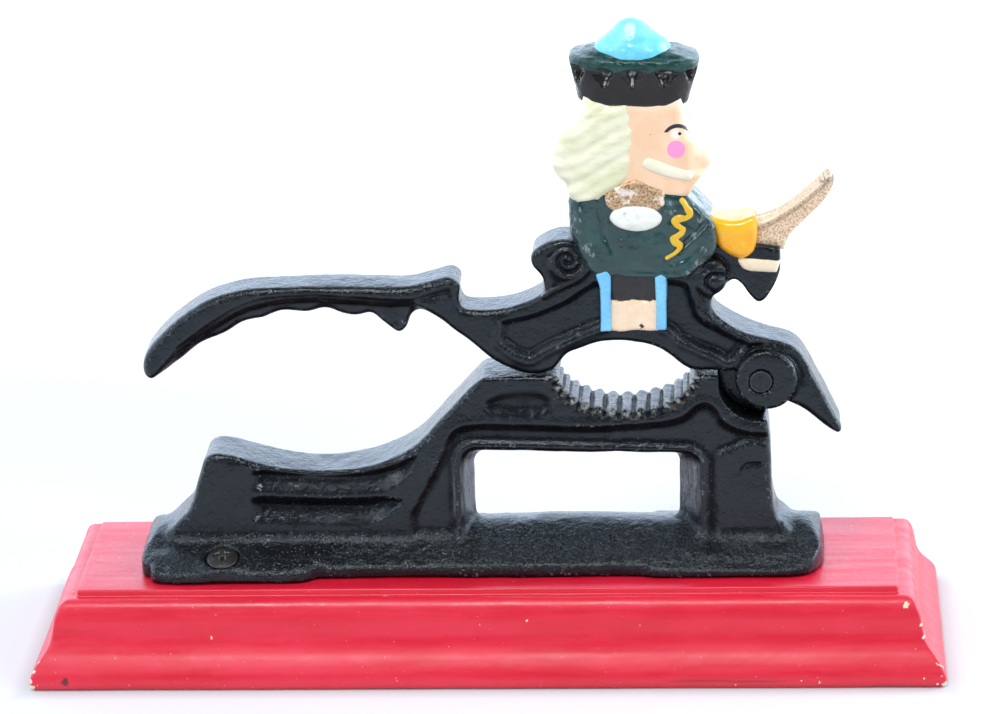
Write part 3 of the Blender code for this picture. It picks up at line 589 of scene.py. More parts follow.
def build_anvil(quick):
    step = 0.8 if quick else 0.52
    b = Block((-99.6, -24.0, 24.2), (96.2, 24.0, 83.2), step)
    X, Z = b.X, b.Z
    outline = np.concatenate([
        spline(ANVIL_TOP, 1.0, False), jaw_edge(), [(59.0, 81.0), (63.5, 80.7), (66.0, 80.4)],
        arc(PIN[0], PIN[1], 8.6, 172.0, -86.0, 40),
        spline(ANVIL_RIGHT, 1.0, False),
    ])
    d = b.shape(outline)
    middle = b.shape(rounded_box(-3.5, 24.0, 53.5, 56.4, 3.4))
    front = b.shape(np.array(
        list(arc(55.4, 54.0, 4.0, 0, 90, 8)) + list(arc(-2.4, 55.6, 4.2, 90, 180, 8))
        + [(-6.7, 22.0), (59.4, 22.0)]))
    # the sunk panel round the window, under an ogee line
    recess = b.shape(spline([
        (-21.5, 36.0, 1), (-20.6, 40.2), (-18.7, 44.2), (-15.0, 50.9), (-11.4, 58.2), (-9.0, 63.6),
        (-6.5, 65.6), (-2.0, 66.3), (9.0, 66.2), (31.7, 65.6), (44.4, 66.3), (51.5, 67.0), (55.7, 68.4),
        (58.9, 71.2), (61.4, 72.2), (63.9, 70.4), (65.8, 67.2), (69.1, 64.9), (73.6, 63.6), (90.0, 62.4, 1),
        (92.0, 30.0, 1), (-21.5, 30.0, 1)], 1.0))
    column = b.shape(spline([
        (64.0, 28.0, 1), (64.3, 55.6), (65.0, 58.2), (69.0, 59.9), (73.4, 61.8), (76.4, 61.6), (92.0, 58.0, 1),
        (92.0, 28.0, 1)], 1.0))
    rim = inside(front - 2.3, 1.6)
    half = 8.65 - 1.25 * inside(recess, 1.45) * (1 - rim) * (1 - inside(column, 1.4))
    half = half + 0.35 * np.exp(-((recess - 1.6) / 1.5) ** 2) * smooth((X + 19.0) / 8.0)
    # a soft sag between the rim's roll and its outer border
    half = half + 0.25 * np.exp(-((front - 1.4) / 0.8) ** 2) * inside(recess, 1.5)
    # two flutes in the finger block, steep above and sloping below
    for top, bottom, left, right, deep in (
        ([(-70, 54.4), (-62.4, 54.2), (-52, 53.4), (-45.2, 53.2), (-36, 53.4), (-30.9, 54.0), (-24, 55.8), (-18, 59.0)],
         [(-70, 47.8), (-61.5, 48.0), (-45.5, 46.9), (-34, 47.0), (-28.3, 47.9), (-22.5, 51.2), (-18, 57.0)], -64.6, -19.6, 2.0),
        ([(-70, 45.6), (-62.8, 45.6), (-45.6, 45.0), (-28.4, 45.4), (-25.0, 45.0), (-22, 44.6)],
         [(-70, 38.4), (-62, 38.5), (-45.9, 37.9), (-34.4, 37.7), (-29.8, 38.9), (-25.7, 42.3), (-22, 44.6)], -65.2, -24.4, 2.3),
    ):
        zt = np.interp(X, *np.array(top).T)
        zb = np.interp(X, *np.array(bottom).T)
        v = (zt - Z) / np.maximum(zt - zb, 0.5)
        flute = smooth((v + 0.14) / 0.52) * (1 - smooth((v - 0.40) / 0.78)) * (v > -0.14) * (v < 1.18)
        flute = flute * smooth((X - left + 2.6) / 5.6) * smooth((right - X + 2.0) / 5.4)
        half = half - deep * flute
    # the arched sinking beside the jaw, with a broken lower lip
    arch = b.shape(spline([(1.0, 73.0), (4.4, 75.5), (9.3, 76.7), (15.0, 76.5), (18.3, 74.6), (18.6, 72.2),
                           (14.8, 71.0), (5.6, 71.3), (1.6, 71.6)], 0.8))
    half = half - 1.0 * inside(arch, 1.7) * (0.35 + 0.65 * smooth((77.2 - Z) / 4.6))
    half = half + 0.18 * np.exp(-((arch - 1.6) / 1.0) ** 2) * smooth((73.4 - Z) / 1.8) * (0.5 + 0.5 * np.sin(X * 1.9))
    crease = b.line([(71.1, 53.3), (72.6, 54.6), (76.4, 54.9)])
    half = half - 0.38 * np.exp(-(crease / 0.45) ** 2)
    nick = b.line([(-72.0, 56.6), (-69.8, 56.2)])
    half = half - 0.3 * np.exp(-(nick / 0.5) ** 2)
    # the web, its edges rounded tighter along the jaw, then the window, whose walls draft as a casting's do
    b.add(b.plate(d, half, np.where(Z > 79.6, 0.9, 1.9)))
    share = np.clip(np.abs(b.y) / 8.6, 0, 1.3)[None, :, None].astype(np.float32)
    window = middle[:, None, :] * (1 - share) + front[:, None, :] * share
    b.cut(window, 1.9)
    # foot flange and its two screw pads
    xx = X[:, 0]
    Y, XX = np.meshgrid(b.y, xx)
    plan_grid = Block((b.low[0], b.low[1], 0), (b.x[-1], b.y[-1], 0.1), step)
    plan_grid.x, plan_grid.z = b.x, b.y
    plan_grid.X, plan_grid.Z = np.meshgrid(b.x, b.y, indexing="ij")
    plan = plan_grid.shape(spline([
        (-97.5, -12.0), (-96.4, -16.2), (-92.4, -18.5), (-80.0, -18.7), (-20.0, -18.3), (20.0, -18.2), (43.0, -18.1),
        (47.0, -19.0), (60.0, -19.5), (84.0, -19.4), (89.6, -17.8), (93.2, -11.0), (93.9, 0.0), (92.9, 11.5),
        (88.6, 17.6), (80.0, 18.7), (0.0, 18.4), (-86.0, 18.7), (-93.0, 17.0), (-96.8, 11.0), (-97.9, 0.0)], 1.0))
    pads = np.minimum(
        plan_grid.shape(spline([
            (-94.4, -16.0), (-93.4, -20.6), (-89.0, -22.3), (-70.0, -22.2), (-54.0, -21.9), (-50.2, -20.9), (-47.0, -17.8),
            (-45.0, 0.0, 1), (-94.4, 0.0, 1)], 1.0)),
        plan_grid.shape(spline([
            (86.2, 17.6), (84.4, 20.2), (80.0, 20.9), (55.0, 20.8), (50.2, 19.9), (46.8, 17.8),
            (46.5, 0.6, 1), (86.2, 0.6, 1)], 1.0)))
    foot = np.minimum(plan, pads)
    reach = 18.4 + 3.4 * inside(pads - 1.0, 3.0) * smooth((np.abs(Y) - 10.0) / 6.0)
    top = flange_height(Y, reach)
    for sx, sy in SCREWS:
        near = np.hypot(XX - sx, Y - sy)
        level = 31.35 - 0.25 * np.sign(sy) * (Y - sy)
        top = top + (level - top) * smooth((9.5 - near) / 6.0)
    ends = np.interp(XX, [-98.5, -97.6, -96.4, -94.0, -90.0, -86.0, 83.0, 87.0, 90.5, 92.8, 94.2],
                     [25.0, 29.8, 32.2, 35.0, 37.2, 40.0, 40.0, 37.4, 35.6, 33.0, 27.0])
    top = blend_min(top, ends, 1.5)
    thin = np.where((XX > 45.0) & (Y < 0), 0.5, 0.0) * smooth((np.abs(Y) - 14.0) / 5.0)
    top = top - thin
    zz = b.z[None, None, :]
    upper = (zz - top[:, :, None]) * 0.86
    side = foot[:, :, None] + np.zeros_like(upper)
    solid = blend_max(upper.astype(np.float32), side.astype(np.float32), 1.1)
    solid = blend_max(solid, (25.35 - zz).astype(np.float32), 0.7)
    b.add(solid.astype(np.float32), 2.4)
    # hinge pocket in the front half, bore, and the screws' seats
    pocket = np.hypot(X - PIN[0], Z - PIN[1]).astype(np.float32)
    b.cut(b.between(pocket - 11.7, -30.0, 0.2, 0.2), 0.7)
    b.cut(b.between(pocket - 3.5, -30.0, 30.0, 0.1), 0.3)
    for sx, sy in SCREWS:
        r = np.hypot(b.x[:, None] - sx, b.y[None, :] - sy)[:, :, None]
        lean = 0.25 * math.copysign(1, sy) * (b.y - sy)[None, :, None]
        seat = np.maximum(r - 4.75, 30.25 - zz - lean) + np.zeros_like(b.f)
        b.cut(seat.astype(np.float32), 0.5)
        b.cut((r - 2.4 + np.zeros_like(b.f)).astype(np.float32), 0.3)

    def rough(points, normal):
        """1 on the sand-rough foot, 0 on the smooth web."""
        return smooth((39.0 - points[:, 2]) / 5.0) * smooth(normal[:, 2] * 3.0)

    return sculpt(
        "anvil_cast_iron", b, "stand", enamel("black_enamel_lower", 3.0, True),
        lumps=(
            (24.0, 0.30, 10), (9.0, 0.16, 11), (3.6, 0.09, 12),
            (1.7, lambda p, n: 0.03 + 0.055 * rough(p, n), 13),
        ),
        extra=lambda p, n: {"rough": rough(p, n)},
    )


# ------------------------------------------------------------------ the lever casting
LEVER_OUTLINE = [
    (-92.6, 80.2), (-94.4, 81.6), (-94.2, 86.6), (-89.6, 93.2), (-82.2, 99.6), (-75.0, 103.8),
    (-66.5, 106.3), (-56.0, 107.0), (-45.0, 107.1), (-32.0, 106.9), (-20.0, 106.8), (-13.3, 108.3),
    (-8.2, 109.5), (-5.7, 107.6), (-6.0, 103.4), (-4.8, 100.5), (0.0, 99.9), (5.0, 100.2),
    (10.0, 101.3), (15.0, 103.4), (17.6, 105.3, 1),
    (17.0, 109.2), (14.4, 113.0), (14.5, 116.2), (17.8, 118.8), (23.0, 120.2), (30.0, 118.0, 1),
    (58.0, 116.0, 1),
    (62.0, 115.2), (66.4, 113.6), (67.4, 111.0), (66.2, 107.4), (63.8, 103.4), (63.6, 100.0),
    (66.0, 96.9), (71.0, 93.6), (78.0, 91.0), (84.2, 89.2), (87.2, 87.2), (89.6, 83.6),
    (93.4, 76.2), (97.3, 68.0), (98.9, 64.4), (98.3, 63.0),
    (87.2, 70.9, 1),
]
LEVER_UNDER = [
    (66.0, 81.6, 1), (62.0, 81.9), (57.6, 82.2), (54.6, 84.2), (51.6, 86.8), (48.2, 88.9), (43.5, 90.2),
    (38.0, 90.6), (32.6, 90.1), (27.6, 88.5), (23.4, 86.8), (21.6, 84.6), (19.6, 82.4), (16.2, 81.4),
    (12.4, 81.4), (8.2, 82.8), (3.0, 85.7), (-5.6, 92.9), (-12.5, 98.2), (-19.0, 101.9), (-26.0, 101.8),
    (-38.0, 102.8), (-51.0, 103.3), (-64.0, 101.0), (-74.0, 95.8), (-84.6, 88.0), (-91.0, 81.2),
]


def build_lever(quick):
    step = 0.75 if quick else 0.46
    b = Block((-97.0, -11.0, 60.0), (101.0, 11.0, 123.0), step)
    X, Z = b.X, b.Z
    loop = spline(LEVER_OUTLINE + LEVER_UNDER, 1.0)
    root = int(np.argmin(np.hypot(loop[:, 0] - 87.2, loop[:, 1] - 70.9)))
    cheek_arc = arc(78.4, 79.5, 8.4, -52.0, -196.0, 30)
    loop = np.concatenate([loop[: root + 1], cheek_arc, loop[root + 1:]])
    d = b.shape(loop)
    half = np.full(X.shape, 7.0, np.float32)
    # the rail of the handle is a little slimmer, and its top rolls over
    rail = smooth((-8.0 - X) / 4.0)
    half = half - 0.3 * rail
    # left panel, sunk; its lower rim catches the light
    left = b.shape(spline([
        (6.3, 96.4, 1), (14.8, 98.4), (19.4, 100.1), (24.1, 102.3), (27.6, 104.7), (31.6, 107.4, 1), (34.0, 107.0, 1),
        (34.0, 96.6, 1), (32.0, 96.0), (26.0, 93.6), (20.3, 91.0), (16.7, 89.2), (13.1, 87.0, 1), (9.6, 88.5), (5.9, 91.5, 1)], 0.8))
    right = b.shape(spline([
        (50.0, 108.0, 1), (56.6, 106.6), (57.6, 103.0), (59.4, 97.6), (62.3, 95.3), (65.3, 93.6), (69.2, 91.4), (72.0, 89.6),
        (70.6, 87.9), (68.3, 85.6), (65.3, 87.2), (59.1, 90.0), (55.3, 92.0), (51.9, 95.2), (50.0, 96.0, 1)], 0.8))
    half = half - 1.65 * inside(left, 1.1) - 1.75 * inside(right, 1.1)
    # raised borders beside the panels
    half = half + 0.55 * np.exp(-((left - 1.9) / 1.3) ** 2) * smooth((99.0 - Z) / 3.0)
    half = half + 0.45 * np.exp(-((right - 1.9) / 1.3) ** 2)
    # under-lip of the rail and the shallow channel above it
    crease = b.line(spline([(-84.6, 89.2), (-74.0, 97.0), (-64.2, 102.3), (-51.1, 104.5), (-38.1, 104.0),
                            (-24.9, 102.8), (-18.5, 103.0), (-8.6, 105.6)], 1.0, False))
    half = half - 0.5 * np.exp(-(crease / 1.0) ** 2)
    # hollow between the hinge cheek and the border over it, and the tail's thin outer edge
    ring = np.hypot(X - 78.4, Z - 79.5)
    half = half - 1.0 * np.exp(-((ring - 9.9) / 1.2) ** 2) * smooth((X - 70.0) / 4.0) * smooth((Z - 76.0) / 5.0)
    spine = b.line(spline([(83.0, 88.0), (86.1, 86.6), (88.7, 83.6), (90.2, 80.0), (92.4, 75.0), (94.6, 70.2), (97.2, 65.6)], 1.0, False))
    side = np.where((X - 83.0) * 0.9 + (Z - 88.6) * 0.42 > 0, 1.0, 0.0)
    outer = smooth((-d) / 0.2)
    edge_on = np.clip(1 - (-d) / 2.2, 0, 1) * smooth((X - 84.0) / 5.0) * smooth((91.0 - Z) / 4.0)
    half = half - 0.8 * edge_on ** 1.2
    half = half + 0.35 * np.exp(-((d + 1.5) / 0.7) ** 2) * smooth((X - 60.0) / 5.0) * smooth((Z - 84.0) / 4.0)
    b.add(b.plate(d, half, 1.8 + 0.4 * rail - 0.6 * smooth((X - 62.0) / 6.0)))
    # nub at the channel's end
    b.add(b.ball((70.9, 0.0, 86.9), (1.9, 7.6, 1.5)), 0.8)
    # finger side of the handle
    finger = b.shape(spline([
        (-92.0, 81.4), (-85.2, 84.6), (-78.2, 90.0), (-71.6, 92.8), (-66.4, 96.0), (-60.6, 97.4),
        (-55.2, 99.3), (-48.0, 98.9), (-43.4, 100.0), (-38.5, 98.5), (-35.0, 97.8), (-30.4, 98.4),
        (-26.7, 95.4), (-23.0, 92.8), (-21.2, 94.0), (-19.4, 98.0), (-17.2, 99.4), (-12.0, 99.4, 1),
        (-12.0, 105.0, 1), (-50.0, 105.6), (-64.0, 103.6), (-74.0, 99.6), (-84.0, 92.4), (-92.5, 84.0)], 0.9))
    thick = 4.1 - 0.7 * np.exp(-(np.hypot(X + 23.6, Z - 95.2) / 1.1) ** 2)
    b.add(b.plate(finger, thick, 2.2), 2.6)
    # volutes: a rolled rim, a spiral groove and a boss in the eye
    for cx, cz, r, curl, roll in (
        (24.0, 113.6, 6.0,
         [(23.62, 114.46), (24.7, 113.72), (25.76, 114.43), (25.57, 115.88), (24.22, 116.71), (22.62, 116.25), (21.67, 114.72),
          (22.3, 112.54), (24.32, 111.32), (26.62, 112.02), (28.04, 114.17), (27.3, 116.6), (25.4, 118.2), (23.15, 118.6),
          (21.08, 117.8), (19.4, 116.2)],
         [(17.6, 104.2), (19.82, 105.6), (23.99, 107.6), (27.7, 109.6), (30.28, 112.7), (30.81, 116.07)]),
        (62.9, 108.9, 5.1,
         [(67.6, 109.3), (65.3, 110.3), (63.1, 110.0), (62.0, 108.3), (62.5, 106.4), (63.9, 105.2)],
         [(66.8, 111.6), (64.2, 113.0), (61.0, 112.7), (58.9, 110.6), (58.2, 107.6), (58.7, 104.4), (60.2, 101.4)]),
    ):
        rr = np.hypot(X - cx, Z - cz)
        groove = b.line(spline(curl, 0.5, False))
        ridge = b.line(spline(roll, 0.5, False))
        face = 8.7 - 0.12 * rr - 1.35 * np.exp(-(groove / 0.62) ** 2)
        face = face - 0.5 * smooth((rr - 0.62 * r) / 2.5) * smooth((cx - 1.0 - X) / 3.0)
        b.add(b.plate((rr - r).astype(np.float32), face, 2.4), 1.3)
        b.add(b.plate((ridge - 0.75).astype(np.float32), 7.75, 0.7), 0.7)
    # bracket that ties the sword hand to the coat and the right volute
    hilt = b.shape(spline([
        (60.0, 118.0, 1), (75.2, 118.0, 1), (82.4, 116.6, 1), (82.0, 110.0), (80.2, 105.4), (77.6, 101.6), (76.2, 101.2),
        (73.8, 103.6), (71.8, 106.4), (69.8, 107.7), (67.4, 106.6), (64.0, 106.0, 1), (60.0, 112.0, 1)], 0.9))
    b.add(b.plate(hilt, 4.9, 1.0), 0.9)
    coat_core = b.shape(spline([(27.0, 122.6, 1), (27.0, 108.0, 1), (58.0, 108.0, 1), (63.0, 114.0), (63.0, 122.6, 1)], 1.0))
    b.add(b.plate(coat_core, 6.5, 1.0), 0.8)
    # the lap joint: the rear half is hollowed for the anvil's lug, then the cheek is set in front
    space = b.shape(np.array([(60.0, 58.0), (80.6, 58.0), (80.6, 79.0), (69.0, 81.0), (60.0, 81.0)]))
    bore = np.hypot(X - PIN[0], Z - PIN[1]).astype(np.float32)
    b.cut(b.between(bore - 9.3, -0.2, 30.0, 0.1), 0.3)
    b.cut(b.between(space, -0.2, 30.0, 0.1), 0.3)
    face = np.hypot(X - 78.4, Z - 79.5).astype(np.float32)
    b.add(b.between(face - 8.6, -8.9, -0.5, 1.5), 0.35)
    b.cut(b.between(bore - 9.3, -0.2, 30.0, 0.1), 0.2)
    ring_gap = np.abs(bore - 3.4) - 0.10
    b.cut(b.between(ring_gap.astype(np.float32), -30.0, -8.3, 0.1), 0.2)
    b.cut(b.between(bore - 3.3, -30.0, 30.0, 0.1), 0.2)
    return sculpt(
        "lever_cast_iron", b, "lever", enamel("black_enamel_upper", 21.0),
        lumps=((22.0, 0.25, 30), (8.0, 0.15, 31), (3.2, 0.08, 32), (1.7, 0.03, 33)),
        extra=lambda p, n: {"rough": np.full(len(p), 0.12)},
    )


# ------------------------------------------------------------------ the board
MOULDING = [
    (1.7, 0.0), (1.6, 0.28), (0.5, 0.42), (0.15, 0.9), (0.03, 1.9), (0.15, 3.1), (0.6, 4.6), (1.5, 6.2), (2.75, 7.9), (4.1, 9.6),
    (5.2, 11.4), (6.0, 13.5), (6.5, 16.0), (6.95, 18.4), (7.6, 20.5), (8.6, 22.2), (9.9, 23.1), (11.4, 23.4),
]


KNOCKS = [
    (-126.4, 1.2, 0.9), (-126.9, 3.0, 0.6), (126.6, 1.2, 0.8), (116.1, 21.4, 0.8), (120.2, 16.2, 0.45), (120.8, 12.7, 0.45),
    (92.3, 2.0, 0.4), (120.8, 3.0, 0.3), (-75.8, 13.6, 0.26), (11.9, 18.0, 0.4),
]


def ring_loop(half_x, half_y, r, n_x=130, n_y=40, n_c=6):
    """Points round a rectangle with round corners, always as many and in the same places."""
    u = np.linspace(-1, 1, n_x + 1)
    v = np.linspace(-1, 1, n_y + 1)
    ix, iy = half_x - r, half_y - r
    corner = np.radians(np.linspace(0, 90, n_c + 1))[1:-1]
    parts = [
        np.stack([u * ix, np.full(n_x + 1, -half_y)], 1),
        np.stack([ix + r * np.sin(corner), -iy - r * np.cos(corner)], 1),
        np.stack([np.full(n_y + 1, half_x), v * iy], 1),
        np.stack([ix + r * np.cos(corner), iy + r * np.sin(corner)], 1),
        np.stack([-u * ix, np.full(n_x + 1, half_y)], 1),
        np.stack([-ix - r * np.sin(corner), iy + r * np.cos(corner)], 1),
        np.stack([np.full(n_y + 1, -half_x), -v * iy], 1),
        np.stack([-ix - r * np.cos(corner), -iy - r * np.sin(corner)], 1),
    ]
    return np.concatenate(parts)


def build_board():
    wall = spline(MOULDING, 0.45, False)
    profile = [(i, z, 0.75) for i, z in wall]
    profile += [(12.2, 23.25, 0.9), (12.62, 23.25, 0.8), (12.75, 23.6, 0.8), (12.78, 24.3, 0.8), (12.84, 24.72, 0.8),
                (13.05, 24.94, 0.8), (13.4, 25.0, 0.8), (14.2, 25.02, 0.8), (16.0, 25.02, 0.8), (20.0, 25.02, 0.8),
                (26.0, 25.02, 0.7), (32.0, 25.02, 0.6), (37.4, 25.02, 0.3)]
    rings = [np.column_stack([ring_loop(127.0 - i, 38.1 - i, r), np.full(len(ring_loop(9, 9, 1)), z)])
             for i, z, r in profile]
    # underneath: a shallow chamfer, then flat rings to the middle
    under = [(2.6, 0.0, 1.2), (8.0, 0.0, 1.2), (18.0, 0.0, 1.0), (28.0, 0.0, 0.8), (37.4, 0.0, 0.3)]
    rings = [np.column_stack([ring_loop(127.0 - i, 38.1 - i, r), np.full(len(rings[0]), z)])
             for i, z, r in reversed(under)] + rings
    count = len(rings[0])
    points = np.concatenate(rings)
    a = np.arange(count)
    b = (a + 1) % count
    faces = [np.stack([k * count + a, k * count + b, (k + 1) * count + b, (k + 1) * count + a], 1)
             for k in range(len(rings) - 1)]
    faces = np.concatenate(faces)
    normal = mesh_normals(points, faces)
    points = points + normal * (
        0.11 * ripple(points, 17.0, 5) + 0.05 * ripple(points, 6.0, 6) + 0.02 * ripple(points, 2.6, 7)
    )[:, None]
    points[:, 2] = np.maximum(points[:, 2], 0.0)
    # the two narrow slits left at the middle are closed with caps
    caps = [list(range(count - 1, -1, -1)), [(len(rings) - 1) * count + k for k in range(count)]]
    mesh = bpy.data.meshes.new("base_board")
    mesh.from_pydata((points * MM).tolist(), [], faces.tolist() + caps)
    mesh.validate()
    mesh.shade_smooth()
    obj = bpy.data.objects.new("base_board", mesh)
    bpy.context.scene.collection.objects.link(obj)
    made, s = material("red_gloss_paint", (0.76, 0.010, 0.034), 0.34, coat=0.0, ior=1.66, tint=(0.90, 0.97, 1.0))
    x, y, z = s.xyz()
    drift = s.noise(26.0, 3, 0.55, seed=4)
    strokes = s.noise(3.2, 3, 0.6, seed=5, stretch=(0.10, 1, 1))
    tone = s.mix(s.ramp(s.add(s.mul(drift, 0.6), s.mul(strokes, 0.4)), 0.36, 0.66), (0.71, 0.007, 0.029), (0.80, 0.014, 0.049))
    # white nicks, cream corner chips, grey scuffs and dust on the lower edges
    ax, ay = s.math("ABSOLUTE", x), s.math("ABSOLUTE", y)
    low = s.ramp(z, 7.0, 2.5)
    corner = s.mul(s.ramp(ax, 119.0, 126.5), s.ramp(ay, 31.0, 37.6))
    chips = s.ramp(s.noise(1.3, 3, 0.55, seed=8), 0.69, 0.72)
    near = s.most(s.mul(corner, 0.75), s.mul(low, 0.30))
    chips = s.ramp(s.add(s.noise(1.5, 3, 0.55, seed=8), s.mul(near, 0.22)), 0.79, 0.82)
    tone = s.mix(chips, tone, (0.86, 0.74, 0.60))
    scuff = s.mul(s.ramp(s.noise(5.0, 4, 0.65, seed=12, stretch=(0.35, 1, 1)), 0.66, 0.74), low)
    tone = s.mix(s.mul(scuff, 0.5), tone, (0.20, 0.03, 0.05))
    ledge = s.mul(s.ramp(z, 22.9, 23.4), s.ramp(z, 24.3, 23.9))
    seam = s.mul(s.ramp(s.noise(3.5, 3, 0.6, seed=15, stretch=(0.5, 1, 1)), 0.70, 0.76), ledge)
    tone = s.mix(s.mul(seam, 0.8), tone, (0.95, 0.80, 0.72))
    specks = s.ramp(s.noise(0.8, 1, 0.5, seed=18), 0.78, 0.80)
    tone = s.mix(s.mul(specks, 0.6), tone, (0.95, 0.62, 0.58))
    # the knocks it has taken: cream nicks on the arrises, a black spot and one long dark scrape
    ragged = s.mul(s.sub(s.noise(1.1, 3, 0.6, seed=31), 0.5), 2.6)
    xr, zr = s.add(x, ragged), s.add(z, s.mul(s.sub(s.noise(0.9, 3, 0.6, seed=33), 0.5), 1.8))
    front = s.ramp(s.sub(y, s.mul(z, 0.52)), -34.0, -35.5)
    nicks = s.mul(s.disc(xr, zr, KNOCKS[0][0], KNOCKS[0][1], KNOCKS[0][2], 0.15), front)
    for kx, kz, kr in KNOCKS[1:]:
        nicks = s.most(nicks, s.mul(s.disc(xr, zr, kx, kz, kr, 0.15), front))
    tone = s.mix(nicks, tone, (0.82, 0.74, 0.55))
    marks = s.disc(xr, zr, -116.9, 2.8, 1.1, 0.3)
    # one long plain scrape, drawn out lengthwise
    along = s.add(z, s.mul(s.sub(s.noise(14.0, 1, 0.5, seed=34), 0.5), 1.4))
    row = s.mul(s.ramp(s.math("ABSOLUTE", s.sub(along, 2.5)), 0.05, 0.55, 1.0, 0.0), s.ramp(s.math("ABSOLUTE", s.sub(x, 68.0)), 20.0, 9.0, 0.0, 1.0))
    row = s.mul(row, s.ramp(s.noise(1.5, 2, 0.5, stretch=(0.06, 1.0, 1.0), seed=35), 0.38, 0.62, 0.5, 1.0))
    marks = s.mul(s.most(marks, row), front)
    tone = s.mix(s.mul(marks, 0.85), tone, (0.05, 0.008, 0.012))
    s.tree.links.new(tone, s.out.inputs["Base Color"])
    s.tree.links.new(s.ramp(s.add(s.mul(strokes, 0.6), s.mul(s.noise(1.4, 3, 0.6, seed=22), 0.4)), 0.35, 0.65, 0.32, 0.46),
                     s.out.inputs["Roughness"])
    height = s.add(s.mul(s.noise(9.0, 2, 0.5, seed=25), 0.9), s.mul(s.noise(1.8, 3, 0.6, seed=26), 0.18))
    height = s.sub(height, s.mul(chips, 0.3))
    s.bump(height, 0.34, 0.30)
    mesh.materials.append(made)
    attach(obj, "stand")
    return obj


# ------------------------------------------------------------------ screws and rivet
def steel(name, seed, base=(0.020, 0.019, 0.018), rough=0.40):
    made, s = material(name, base, rough, metallic=0.35)
    wear = s.ramp(s.noise(0.7, 4, 0.65, seed=seed), 0.46, 0.60)
    proud = s.ramp(s.attribute("proud"), 0.02, 0.06)
    tone = s.mix(wear, base, (0.036, 0.034, 0.031))
    tone = s.mix(s.mul(proud, 0.45), tone, (0.30, 0.29, 0.26))
    # painted shade: darker down in the hollows, such as the cross recess
    tone = s.mix(s.ramp(s.attribute("proud"), -0.03, -0.08), tone, (0.012, 0.011, 0.010))
    stain = s.ramp(s.noise(0.7, 2, 0.5, seed=seed + 4), 0.62, 0.70)
    tone = s.mix(s.mul(stain, 0.7), tone, (0.030, 0.022, 0.018))
    s.tree.links.new(tone, s.out.inputs["Base Color"])
    s.tree.links.new(s.ramp(wear, 0, 1, rough + 0.14, rough - 0.06), s.out.inputs["Roughness"])
    s.bump(s.noise(0.5, 3, 0.6, seed=seed + 7), 0.35, 0.05)
    return made


def build_screw(name, cx, cy, seed, turn):
    """A cross-head wood screw: dome, tapered recess, shank and a real helix of thread."""
    seat = 30.35
    b = Block((cx - 5.2, cy - 5.2, seat - 18.2), (cx + 5.2, cy + 5.2, seat + 3.2), 0.15)
    x = (b.x - cx)[:, None, None]
    y = (b.y - cy)[None, :, None]
    z = (b.z - seat)[None, None, :]
    r = np.sqrt(x * x + y * y)
    upright = z + 0 * r
    z = z + 0.25 * math.copysign(1, cy) * y
    dome_r = (4.5 ** 2 + 1.3 ** 2) / (2 * 1.3)
    dome = np.sqrt(r * r + (z + dome_r - 1.7) ** 2) - dome_r
    head = blend_max(dome, r - 4.45 + 0 * z, 0.5)
    head = blend_max(head, 0.02 - z + 0 * r, 0.3)
    c, s = math.cos(math.radians(turn)), math.sin(math.radians(turn))
    u, v = x * c + y * s, y * c - x * s
    for p, q in ((u, v), (v, u)):
        floor = 0.45 + 0.34 * np.abs(p)
        slot = np.maximum(np.maximum(np.abs(q) - 0.58 - 0.10 * (z - 1.0), np.abs(p) - 2.75), (floor - z) * 0.9)
        head = blend_max(head, -slot, 0.22)
    z = upright
    angle = np.arctan2(y, x) / (2 * math.pi)
    pitch = 1.7
    phase = np.mod(z / pitch - angle, 1.0)
    ridge = 0.62 * (1 - np.minimum(np.abs(phase - 0.5) * 2 / 0.55, 1.0))
    taper = np.interp(b.z - seat, [-17.6, -13.5, -5.0, 0.0], [0.1, 1.25, 1.45, 1.9])[None, None, :]
    thread = np.interp(b.z - seat, [-17.4, -15.0, -6.2, -5.4], [0.0, 1.0, 1.0, 0.0])[None, None, :]
    shank = (r - taper - ridge * thread) * 0.8
    shank = np.maximum(np.maximum(shank, z - 0.3), -17.6 - z)
    b.f = blend_min(head, shank, 0.3).astype(np.float32)
    return sculpt(name, b, "stand", steel("worn_" + name, seed),
                  lumps=((1.2, 0.03, seed), ))


def build_rivet():
    b = Block((PIN[0] - 4.2, -9.8, PIN[1] - 4.2), (PIN[0] + 4.2, 9.8, PIN[1] + 4.2), 0.16)
    x = (b.x - PIN[0])[:, None, None]
    z = (b.z - PIN[1])[None, None, :]
    y = b.y[None, :, None]
    r = np.sqrt(x * x + z * z)
    body = blend_max((r - 3.15) + 0 * y, np.abs(y) - 8.85 + 0.012 * r * r, 0.5)
    # peened end: a faint hammered ring and a flat in its middle
    body = body + 0.10 * np.exp(-((r - 1.9) / 0.5) ** 2) * (np.abs(y) > 7)
    b.f = body.astype(np.float32)
    made, s = material("peened_steel", (0.007, 0.0075, 0.009), 0.24, ior=1.52, tint=(0.80, 0.91, 1.0))
    wear = s.ramp(s.noise(1.2, 3, 0.6, seed=41), 0.45, 0.60)
    tone = s.mix(wear, (0.006, 0.0065, 0.008), (0.011, 0.012, 0.014))
    tone = s.mix(s.mul(s.ramp(s.attribute("proud"), 0.03, 0.07), 0.35), tone, (0.22, 0.23, 0.24))
    s.tree.links.new(tone, s.out.inputs["Base Color"])
    s.tree.links.new(s.ramp(wear, 0, 1, 0.34, 0.24), s.out.inputs["Roughness"])
    s.bump(s.noise(0.8, 3, 0.6, seed=43), 0.4, 0.08)
    return sculpt("hinge_rivet", b, "lever", made, lumps=((1.6, 0.05, 44),))


